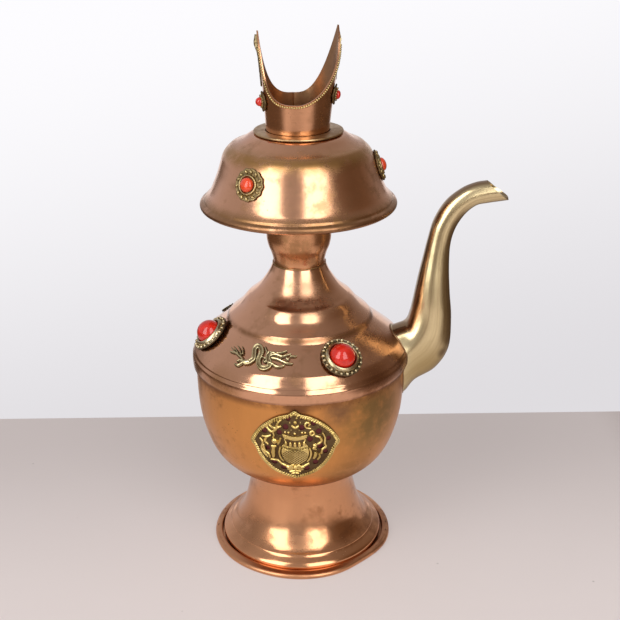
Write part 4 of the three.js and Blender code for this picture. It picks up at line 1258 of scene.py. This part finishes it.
dragon_lines = [
    [
        (4.9, 1.4, 0.50),
        (6.8, 2.5, 0.65),
        (8.9, 2.2, 0.60),
        (11.0, 1.7, 0.60),
        (13.0, 2.5, 0.50),
        (15.2, 3.3, 0.30),
    ],
    [(15.1, 1.9, 0.35), (16.7, 2.1, 0.50), (18.4, 2.0, 0.40)],
    [(5.7, 0.2, 0.50), (8.8, 0.0, 0.60), (12.1, -1.1, 0.60), (14.7, -2.0, 0.60), (17.9, -2.3, 0.40)],
    [(5.2, -2.4, 0.50), (7.5, -3.1, 0.60), (9.6, -4.2, 0.65), (11.7, -4.3, 0.60), (13.9, -3.3, 0.40)],
    [(4.1, 3.5, 0.45), (6.9, 3.3, 0.45), (10.3, 3.9, 0.40), (12.4, 5.2, 0.35)],
    [(0.1, 6.0, 0.35), (1.5, 4.1, 0.45), (2.9, 2.3, 0.40)],
    [(13.2, 0.9, 0.35), (14.7, 0.1, 0.45), (14.9, 1.0, 0.35)],
    [(-9.3, -5.7, 0.70), (-7.3, -4.8, 0.90), (-5.5, -4.2, 0.70)],
    [(-13.6, -7.9, 0.45), (-11.5, -8.0, 0.60), (-9.9, -6.5, 0.60), (-9.3, -5.0, 0.50)],
    [
        (-8.8, -5.1, 0.60),
        (-10.7, -3.5, 0.65),
        (-13.1, -2.7, 0.60),
        (-15.9, -1.9, 0.50),
        (-18.2, -2.3, 0.40),
        (-20.0, -2.5, 0.30),
    ],
    [(-13.1, -2.7, 0.45), (-15.5, -0.7, 0.40), (-18.8, 0.9, 0.22)],
    [(-12.0, -1.9, 0.45), (-13.9, 0.5, 0.40), (-16.4, 2.2, 0.22)],
    [(-11.2, -1.5, 0.40), (-11.7, 0.7, 0.35), (-13.3, 2.8, 0.20)],
    [(-15.1, -2.4, 0.40), (-17.6, -1.2, 0.35), (-20.3, -0.2, 0.20)],
    [(-10.2, -4.6, 0.45), (-11.7, -5.0, 0.40), (-13.2, -6.3, 0.25)],
    [(1.8, -1.9, 0.35), (3.1, -2.7, 0.45), (3.6, -1.8, 0.35)],
    [(0.7, 0.1, 0.30), (2.3, -0.6, 0.38), (3.4, -0.1, 0.30)],
]
for azimuth, side, facing in ((-25, "front", 1), (-139.5, "back", -1)):
    low = strokes("low", widened([dragon_body, *dragon_lines], 1.7), 0.2, 0.6)
    high = strokes("high", dragon_ridges, 1.0)
    spine = strokes("spine", widened(dragon_lines, 0.95), 1.0)
    dragon = joined(f"dragon_cast_{side}", low, high, spine)
    dragon.scale = (facing, 1, 1)
    settle(dragon)
    fused(dragon, 0.22, 1)
    pressed_flat(dragon)
    remember_flat(dragon)
    laid(dragon, slope_shell, DRAGON_HEIGHT, azimuth, DRAGON_GAP)
    smoothed(dragon, 60)
    dress(dragon, dragon_brass, "brass", "vase", f"dragon_{side}")


# PLAQUE
# A stamped and pierced plate, bent to the bowl. It has a corded border and a treasure vase on a
# lotus, with ribbons and scrolls on both sides. A dark sheet lies behind the piercings, as pitch and
# as painted shade seen through them.
def sheet(name, outlines, low, high, bevel=0.0):
    """A flat plate between two heights, from outlines in millimetres; inner ones are holes."""
    lines = [[((x * MM, y * MM, 0), 1) for x, y in outline] for outline in outlines]
    piece = from_curve(
        name,
        lines,
        True,
        dimensions="2D",
        fill_mode="BOTH",
        extrude=((high - low) / 2 - bevel) * MM,
        bevel_depth=bevel * MM,
        bevel_resolution=2,
    )
    open_mesh()
    bpy.ops.transform.translate(value=(0, 0, (low + high) / 2 * MM))
    close_mesh(0.001 * MM)
    return piece


PLAQUE_HALF, PLAQUE_UP, PLAQUE_DOWN = 24.1, 23.1, 22.1
PLAQUE_SHEET = 0.75
PLAQUE_HEIGHT, PLAQUE_AZIMUTH, PLAQUE_GAP = 89.5, -3.3, 0.15
CORD_PITCH, CORD_START, CORD_END = 1.3, 0.4, 2.1
BAND_BEADS, BAND_PITCH, BAND_START = 17, 0.83, -6.6
upper_shares = [(1, 0.14), (0.88, 0.38), (0.74, 0.56), (0.54, 0.73), (0.33, 0.85), (0.13, 0.91), (0, 1)]
lower_shares = [
    (0, -1),
    (0.16, -0.93),
    (0.36, -0.83),
    (0.53, -0.7),
    (0.69, -0.5),
    (0.82, -0.27),
    (0.9, -0.04),
]
right_edge = [(x * PLAQUE_HALF, y * PLAQUE_DOWN) for x, y in lower_shares]
right_edge += [(x * PLAQUE_HALF, y * PLAQUE_UP) for x, y in upper_shares]
left_edge = [(-x, y) for x, y in reversed(right_edge[1:-1])]
plaque_edge = right_edge + left_edge
plaque_holes = [
    (-4.7, 13.3, 1.8),
    (3.8, 13.0, 1.8),
    (9.9, 15.3, 1.5),
    (12.6, 10.3, 1.8),
    (8.0, 5.8, 1.8),
    (17.8, 5.4, 1.5),
    (13.3, 1.1, 1.8),
    (16.2, -2.9, 1.5),
    (10.7, -9.9, 1.8),
    (5.9, -14.2, 1.9),
    (-6.2, -13.8, 1.8),
    (-11.3, -10.0, 1.9),
    (-14.7, -0.9, 1.5),
    (-16.3, 10.0, 1.8),
    (-8.1, 9.7, 1.6),
    (4.1, 18.9, 1.3),
    (-3.3, 18.6, 1.7),
]
plaque_ribbons = [
    [(-14.7, 12.6, 0.45), (-12.3, 10.3, 0.55), (-9.7, 12.0, 0.6), (-8.9, 15.3, 0.5), (-6.5, 17.9, 0.3)],
    [(-13.4, 14.0, 0.4), (-10.2, 12.6, 0.6), (-6.8, 14.0, 0.45)],
    [(-17.6, 6.7, 0.4), (-14.4, 7.0, 0.6), (-12.4, 8.0, 0.4)],
    [(-14.4, 7.0, 0.5), (-15.8, 4.0, 0.5), (-14.0, 1.8, 0.4)],
    [(-18.7, 5.4, 0.4), (-17.1, 2.7, 0.45), (-17.9, -0.6, 0.45), (-16.6, -3.9, 0.45), (-14.5, -6.6, 0.35)],
    [(-16.8, 1.4, 0.35), (-15.9, -2.6, 0.45), (-13.7, -4.8, 0.4), (-13.4, -7.4, 0.3)],
    [(-8.9, 2.7, 0.45), (-8.0, 4.6, 0.5), (-7.2, 6.9, 0.4)],
    [(-7.6, 1.4, 0.4), (-8.3, -2.6, 0.42), (-7.6, -6.0, 0.4), (-6.0, -8.4, 0.35)],
    [(-12.4, 1.2, 0.5), (-9.6, 1.3, 0.5)],
    [(-11.2, 0.9, 0.7), (-11.4, -3.0, 0.8), (-11.4, -6.0, 0.6)],
    [(-11.4, 10.0, 0.4), (-10.9, 8.0, 0.4), (-11.6, 6.6, 0.4)],
    [(-13.0, -8.0, 0.4), (-9.4, -8.2, 0.45), (-6.9, -10.4, 0.5), (-4.4, -11.9, 0.55), (-2.2, -14.0, 0.4)],
    [(7.6, 0.8, 0.4), (8.4, -2.6, 0.42), (7.8, -6.0, 0.4), (6.3, -8.6, 0.35)],
    [(7.4, -9.8, 0.45), (4.7, -11.7, 0.55), (2.4, -14.0, 0.4)],
    [
        (8.6, 12.6, 0.35),
        (6.4, 13.2, 0.45),
        (5.4, 15.0, 0.5),
        (6.6, 16.4, 0.5),
        (8.0, 15.4, 0.45),
        (7.3, 14.3, 0.35),
    ],
    [
        (10.2, 10.6, 0.4),
        (9.0, 11.1, 0.45),
        (7.9, 9.8, 0.45),
        (8.9, 8.5, 0.45),
        (10.1, 9.1, 0.4),
        (10.2, 10.6, 0.35),
    ],
    [(10.6, 8.0, 0.4), (13.2, 7.0, 0.55), (13.9, 4.6, 0.5), (12.2, 3.0, 0.5), (9.9, 2.8, 0.4)],
    [
        (14.7, 9.6, 0.35),
        (15.8, 6.4, 0.45),
        (15.6, 3.2, 0.45),
        (16.3, 0.8, 0.45),
        (14.3, -0.9, 0.5),
        (13.9, -3.9, 0.35),
    ],
    [(9.4, 2.6, 0.5), (10.8, 1.6, 0.6), (9.6, 0.2, 0.5), (11.2, -0.6, 0.4)],
    [(10.9, -2.0, 0.6), (10.6, -4.4, 0.7), (9.6, -6.6, 0.45)],
    [(12.6, -3.2, 0.4), (12.9, -5.6, 0.45), (11.6, -7.6, 0.35)],
    [(-1.6, 14.6, 0.4), (0.4, 13.3, 0.6), (2.4, 14.6, 0.4)],
    [(0.1, -10.8, 0.5), (0.1, -12.5, 1.0), (0.0, -14.6, 0.3)],
    [(1.2, -11.1, 0.45), (3.2, -12.2, 0.9), (5.4, -11.7, 0.4)],
    [(-1.2, -11.1, 0.45), (-3.2, -12.2, 0.9), (-5.4, -11.7, 0.4)],
    [(0.9, -12.3, 0.4), (2.5, -13.8, 0.75), (4.4, -14.3, 0.3)],
    [(-0.9, -12.3, 0.4), (-2.5, -13.8, 0.75), (-4.4, -14.3, 0.3)],
    [(-3.2, -16.2, 0.5), (-0.1, -15.4, 0.6), (2.8, -15.8, 0.5)],
    [(-2.2, -18.0, 0.45), (-0.3, -17.1, 0.5), (1.8, -17.6, 0.45)],
]
plaque_jewels = [
    (0.4, 16.4, 1.15),
    (1.2, 18.9, 0.6),
    (-2.4, 16.0, 0.5),
    (3.1, 16.2, 0.5),
    (-10.7, 4.6, 1.8),
    (-4.9, 10.3, 0.7),
    (-3.2, 10.2, 0.7),
    (0.1, 9.6, 0.8),
    (3.9, 10.2, 0.7),
    (5.5, 10.1, 0.7),
    (-0.3, -19.4, 0.6),
    (-1.8, 11.6, 0.4),
    (2.4, 11.6, 0.4),
    (6.6, 17.9, 0.4),
    (12.2, 13.2, 0.4),
    (-12.2, 15.6, 0.4),
    (9.8, 0.9, 0.7),
]
vase_rim = [
    (-5.9, 9.0),
    (-3.0, 8.1),
    (0.2, 7.7),
    (3.4, 8.1),
    (6.2, 8.9),
    (5.9, 7.6),
    (3.3, 6.8),
    (0.2, 6.5),
    (-3.0, 6.8),
    (-5.6, 7.7),
]
vase_lines = [
    [(-5.2, 6.6, 0.4), (0.2, 5.6, 0.4), (5.4, 6.6, 0.4)],
    [(-5.4, 6.4, 0.4), (-5.0, 4.4, 0.4), (-6.0, 2.2, 0.4)],
    [(5.6, 6.4, 0.4), (5.2, 4.4, 0.4), (6.2, 2.2, 0.4)],
    [(-6.6, 1.9, 0.45), (-3.2, 0.9, 0.45), (0.1, 0.6, 0.45), (3.4, 0.9, 0.45), (6.8, 1.9, 0.45)],
    [(-6.5, 0.0, 0.45), (-3.2, -1.1, 0.45), (0.1, -1.5, 0.45), (3.4, -1.1, 0.45), (6.7, 0.0, 0.45)],
    [
        (-6.5, 0.1, 0.4),
        (-6.7, -3.2, 0.45),
        (-5.7, -6.6, 0.45),
        (-3.8, -9.0, 0.45),
        (0.2, -10.1, 0.5),
        (4.1, -9.0, 0.45),
        (6.0, -6.6, 0.45),
        (6.9, -3.2, 0.45),
        (6.7, 0.1, 0.4),
    ],
]
vase_neck = [
    (-5.0, 7.0),
    (0.2, 6.2),
    (5.4, 7.0),
    (5.0, 4.9),
    (6.1, 2.0),
    (6.6, 0.6),
    (0.1, -0.9),
    (-6.5, 0.7),
    (-5.9, 2.0),
    (-4.8, 4.9),
]
vase_belly = eased(
    [
        (-6.2, -0.7),
        (0.2, -2.3),
        (6.4, -0.7),
        (6.6, -3.3),
        (5.8, -6.5),
        (4.0, -8.9),
        (0.2, -10.0),
        (-3.8, -9.0),
        (-5.6, -6.6),
        (-6.4, -3.3),
        (-6.2, -0.7),
    ],
    4,
)[:-1]

plaque_brass = brass_finish(
    "plaque_brass",
    (0.88, 0.66, 0.24),
    (0.56, 0.4, 0.12),
    rough=0.2,
    relief=(0.95, 1.4),
    deep=(0.065, 0.028, 0.022),
    lattice=1.7,
)
round_hole = [(math.cos(math.radians(30 * i)), math.sin(math.radians(30 * i))) for i in range(12)]
hole_outlines = []
for x, y, size in plaque_holes:
    hole_outlines.append([(x + size * 0.88 * across, y + size * up) for across, up in round_hole])
plate = sheet("plate", [plaque_edge, *hole_outlines], 0, PLAQUE_SHEET)
cord = []
edge_loop = [*plaque_edge, plaque_edge[0]]
for a, b in zip(edge_loop, edge_loop[1:]):
    a, b = Vector((*a, 0)), Vector((*b, 0))
    count = max(round((b - a).length / CORD_PITCH), 1)
    inward = Vector((a.y - b.y, b.x - a.x, 0)).normalized()
    for i in range(count):
        start = a.lerp(b, (i + 0.1) / count) + inward * CORD_START
        end = a.lerp(b, (i + 0.75) / count) + inward * CORD_END
        middle = (start + end) / 2
        cord.append([(start.x, start.y, 0.4), (middle.x, middle.y, 0.6), (end.x, end.y, 0.4)])
cord.append([(x * 0.985, y * 0.985, 0.34) for x, y in edge_loop])
cord_piece = strokes("cord", cord, 1.0, 1.0)
ribbon_piece = strokes("ribbons", [*widened(plaque_ribbons, 1.5), *vase_lines], 0.95, 1.3)
rim_piece = sheet("rim", [vase_rim], 0.4, 2.0, 0.3)
neck_piece = sheet("neck", [vase_neck], 0.4, 0.95, 0.1)
belly_piece = sheet("belly", [vase_belly], 0.4, 1.5, 0.3)
jewel_places = []
for x, y, size in plaque_jewels:
    jewel_places.append(Matrix.Translation(Vector((x, y, 0.9)) * MM) @ Matrix.Scale(size, 4))
jewels = repeated(drop("jewel", 1, 1, 0.9), jewel_places)
petal_places = []
for x in range(-2, 3):
    petal_places.append(Matrix.Translation(Vector((x * 2.35 + 0.1, 2.9 + 0.12 * x * x, 1.3)) * MM))
petals = repeated(drop("petal", 0.85, 1.7, 0.9), petal_places)
vase_pieces = (rim_piece, neck_piece, belly_piece)
plaque = joined("plaque_stamped", plate, cord_piece, ribbon_piece, *vase_pieces, jewels, petals)
fused(plaque, 0.27, 1)
pressed_flat(plaque)
band_places = []
for i in range(BAND_BEADS):
    x = BAND_START + BAND_PITCH * i
    band_places.append(Matrix.Translation(Vector((x, -0.4 + 0.033 * x * x, 1.2)) * MM))
band = repeated(drop("band", 0.36, 0.4, 0.4, 1), band_places)
plaque = joined("plaque_stamped", plaque, band)
remember_flat(plaque)
bowl_shell = Shell(eased(bowl_wall))
laid(plaque, bowl_shell, PLAQUE_HEIGHT, PLAQUE_AZIMUTH, PLAQUE_GAP)
smoothed(plaque, 60)
dress(plaque, plaque_brass, "gilt_brass", "vase", "plaque")

# Painted shade: a dark sheet behind the piercings, standing for pitch and for the shade in them.
pitch = sheet("plaque_pitch_and_shade", [[(x * 0.93, y * 0.93) for x, y in plaque_edge]], -0.2, 0.2)
fused(pitch, 0.5, 0)
laid(pitch, bowl_shell, PLAQUE_HEIGHT, PLAQUE_AZIMUTH, PLAQUE_GAP)
pitch_and_shade_finish = copper_finish("pitch", (0.16, 0.045, 0.045), (0.09, 0.025, 0.03), rough=0.5, tarnish=0.6)
smoothed(pitch)
dress(pitch, pitch_and_shade_finish, "brass", "vase")


# NECK SOLDER
# An uneven ring of hard solder where the neck stands on the shoulder, olive and brown from the heat.
NECK_SEAM_STEPS = 120
NECK_SEAM_RADIUS, NECK_SEAM_HEIGHT = 14.3, 173.9
seam = []
for i in range(NECK_SEAM_STEPS):
    turn = 2 * math.pi * i / NECK_SEAM_STEPS
    outward = Vector((math.sin(turn), -math.cos(turn), 0))
    spread = noise.noise(outward * 2.4) + 0.5 * noise.noise(outward * 7)
    height = NECK_SEAM_HEIGHT + 0.2 * spread
    spot = outward * NECK_SEAM_RADIUS * MM + Vector((0, 0, height * MM))
    seam.append((spot, 0.5 + 0.25 * spread))
neck_solder = drawn("neck_solder", [seam], closed=True)
smoothed(neck_solder, 80)
braze_finish = copper_finish("braze", (0.48, 0.27, 0.13), (0.28, 0.19, 0.07), rough=0.4, tarnish=0.7)
dress(neck_solder, braze_finish, "brass", "vase")


# CAMERA
# Level with a seated viewer's eyes, a little above the mouth, looking down at the vase.
CAMERA_PLACE = (0, -0.5655, 0.3811)
CAMERA_PITCH, CAMERA_YAW, CAMERA_ROLL = -22.6, -0.566, -0.434
bpy.ops.object.camera_add()
camera = bpy.context.object
turn = (
    Matrix.Rotation(math.radians(CAMERA_YAW), 4, "Z")
    @ Matrix.Rotation(math.radians(90 + CAMERA_PITCH), 4, "X")
    @ Matrix.Rotation(math.radians(CAMERA_ROLL), 4, "Z")
)
camera.matrix_world = Matrix.Translation(CAMERA_PLACE) @ turn
camera.data.sensor_width = 36
camera.data.lens = 63.35
camera.data.shift_x = 0.0005
camera.data.shift_y = -0.0032
bpy.context.scene.camera = camera


# TABLE, WALL AND LIGHT
# A pale grey table before a white wall, with painted shade on the table well to the left and right
# of the vase and towards its far edge, and painted light on the wall, brighter at the top left. Two
# tall windows are behind the viewer.
TABLE_EDGE = 0.145
TABLE_LEFT, TABLE_RIGHT, TABLE_FRONT = -0.55, 0.5, -0.7
middle = ((TABLE_LEFT + TABLE_RIGHT) / 2, (TABLE_EDGE + TABLE_FRONT) / 2, 0)
bpy.ops.object.select_all(action="DESELECT")
bpy.ops.mesh.primitive_plane_add(size=1, location=middle)
table = bpy.context.object
table.name = "table_top"
open_mesh()
table_size = (TABLE_RIGHT - TABLE_LEFT, TABLE_EDGE - TABLE_FRONT, 1)
bpy.ops.transform.resize(value=table_size, center_override=middle)
close_mesh()
settle(table)


def own_light(paint, colour, share):
    """Mixes a share of the paint's own colour into what the camera and shiny pieces see of it."""
    rays = paint.node("ShaderNodeLightPath", {}, {}).socket.node.outputs
    seen = Shade(paint, rays["Is Camera Ray"]) + Shade(paint, rays["Is Glossy Ray"])
    seen = seen.math("ADD", Shade(paint, rays["Is Transmission Ray"]), clamp=True)
    shine = paint.node("ShaderNodeEmission", {}, {"Color": colour, "Strength": 1.0})
    matte = Shade(paint, paint.shader.outputs["BSDF"])
    both = paint.node("ShaderNodeMixShader", {}, {0: seen * share, 1: matte, 2: shine})
    surface = paint.tree.nodes["Material Output"].inputs["Surface"]
    paint.tree.links.new(both.socket, surface)


table_paint = Finish("table_paint", Roughness=0.6, Specular_IOR_Level=0.2)
dust = table_paint.dots(55, 0.05) * table_paint.clouds(table_paint.place, 9, 2.0).above(0.5, 0.6)
soil = table_paint.clouds(table_paint.place, 6, 4.0, 0.6)
table_colour = table_paint.blend(soil, (0.74, 0.66, 0.635), (0.79, 0.71, 0.69))
# Painted shade: the table darkens towards its far edge by the wall.
far_edge_shade = table_paint.y.above(-0.09, 0.12)
table_colour = table_paint.blend(far_edge_shade * 0.8, table_colour, (0.56, 0.5, 0.485))
# Painted shade: well to the left and right of the vase the table is dark, standing for the dim room beyond
# its edges.
beside_vase_shade = (table_paint.x + 0.03).math("ABSOLUTE").above(0.24, 0.34)
beside_vase_shade = beside_vase_shade * table_paint.y.above(-0.34, -0.2)
table_colour = table_paint.blend(beside_vase_shade, table_colour, (0.16, 0.11, 0.08))
table_colour = table_paint.blend(dust * 0.5, table_colour, (0.3, 0.26, 0.24))
table_paint.vary(table_colour)
own_light(table_paint, table_colour, 0.55)
table.data.materials.append(table_paint.material)

WALL = 1.15
WALL_LOW, WALL_HIGH, WALL_HALF = -0.92, 0.35, 0.62
middle = (0, WALL, (WALL_LOW + WALL_HIGH) / 2)
bpy.ops.object.select_all(action="DESELECT")
bpy.ops.mesh.primitive_plane_add(size=1, location=middle, rotation=(math.radians(90), 0, 0))
wall = bpy.context.object
wall.name = "wall"
open_mesh()
bpy.ops.transform.resize(value=(2 * WALL_HALF, 1, WALL_HIGH - WALL_LOW), center_override=middle)
close_mesh()
settle(wall)
wall_paint = Finish("wall_paint", Roughness=0.9)
# Painted light: the wall is brighter towards the top and the left, and darker low on the right.
painted_wall_light = (wall_paint.z - wall_paint.x * 0.2).above(-0.62, 0.26)
wall_colour = wall_paint.blend(painted_wall_light, (0.74, 0.72, 0.745), (0.985, 0.975, 1.0))
wall_paint.vary(wall_colour)
own_light(wall_paint, wall_colour, 1)
wall.data.materials.append(wall_paint.material)

WINDOW_LOW, WINDOW_HIGH, WINDOW_AWAY = 0.12, 2.2, 1.2
for azimuth, width in ((-42, 0.72), (25.5, 0.78)):
    bearing = math.radians(azimuth)
    right, front = math.sin(bearing) * WINDOW_AWAY, math.cos(bearing) * WINDOW_AWAY
    place = (right, -front, (WINDOW_LOW + WINDOW_HIGH) / 2)
    bpy.ops.object.light_add(type="AREA", location=place, rotation=(math.radians(90), 0, bearing))
    window = bpy.context.object
    window.data.shape = "RECTANGLE"
    window.data.size = width
    window.data.size_y = WINDOW_HIGH - WINDOW_LOW
    window.data.energy = 15
    window.data.color = (1.0, 0.99, 0.985)


class Room(Finish):
    """The room all round: bright on the left and behind the vase, dim on the right and below."""

    tones = (
        (0, (0.03, 0.018, 0.01)),
        (1, (0.95, 0.95, 1.0)),
        (0.15, (0.16, 0.11, 0.075)),
        (0.42, (0.42, 0.4, 0.41)),
        (0.58, (0.6, 0.59, 0.66)),
    )

    def __init__(self, world):
        world.use_nodes = True
        self.tree = world.node_tree
        place = self.node("ShaderNodeTexCoord", {}, {}, "Generated")
        outputs = self.node("ShaderNodeSeparateXYZ", {}, {"Vector": place}).socket.node.outputs
        right, behind, up = (Shade(self, outputs[axis]) for axis in "XYZ")
        tone = 0.485 + behind * 0.065 - right * right * 0.17 - right * 0.175 - up * 0.1
        below = up.above(0.04, -0.14)
        ramp = self.node("ShaderNodeValToRGB", {}, {"Fac": tone - below * (tone - 0.12)})
        elements = ramp.socket.node.color_ramp.elements
        stops = [elements[0], elements[1], *(elements.new(0.1 * i) for i in range(3, 6))]
        for stop, (position, colour) in zip(stops, self.tones):
            stop.position = position
            stop.color = (*colour, 1)
        self.tree.links.new(ramp.socket, self.tree.nodes["Background"].inputs["Color"])


world = bpy.data.worlds.new("room")
Room(world)
bpy.context.scene.world = world
bpy.context.scene.view_settings.view_transform = "Standard"
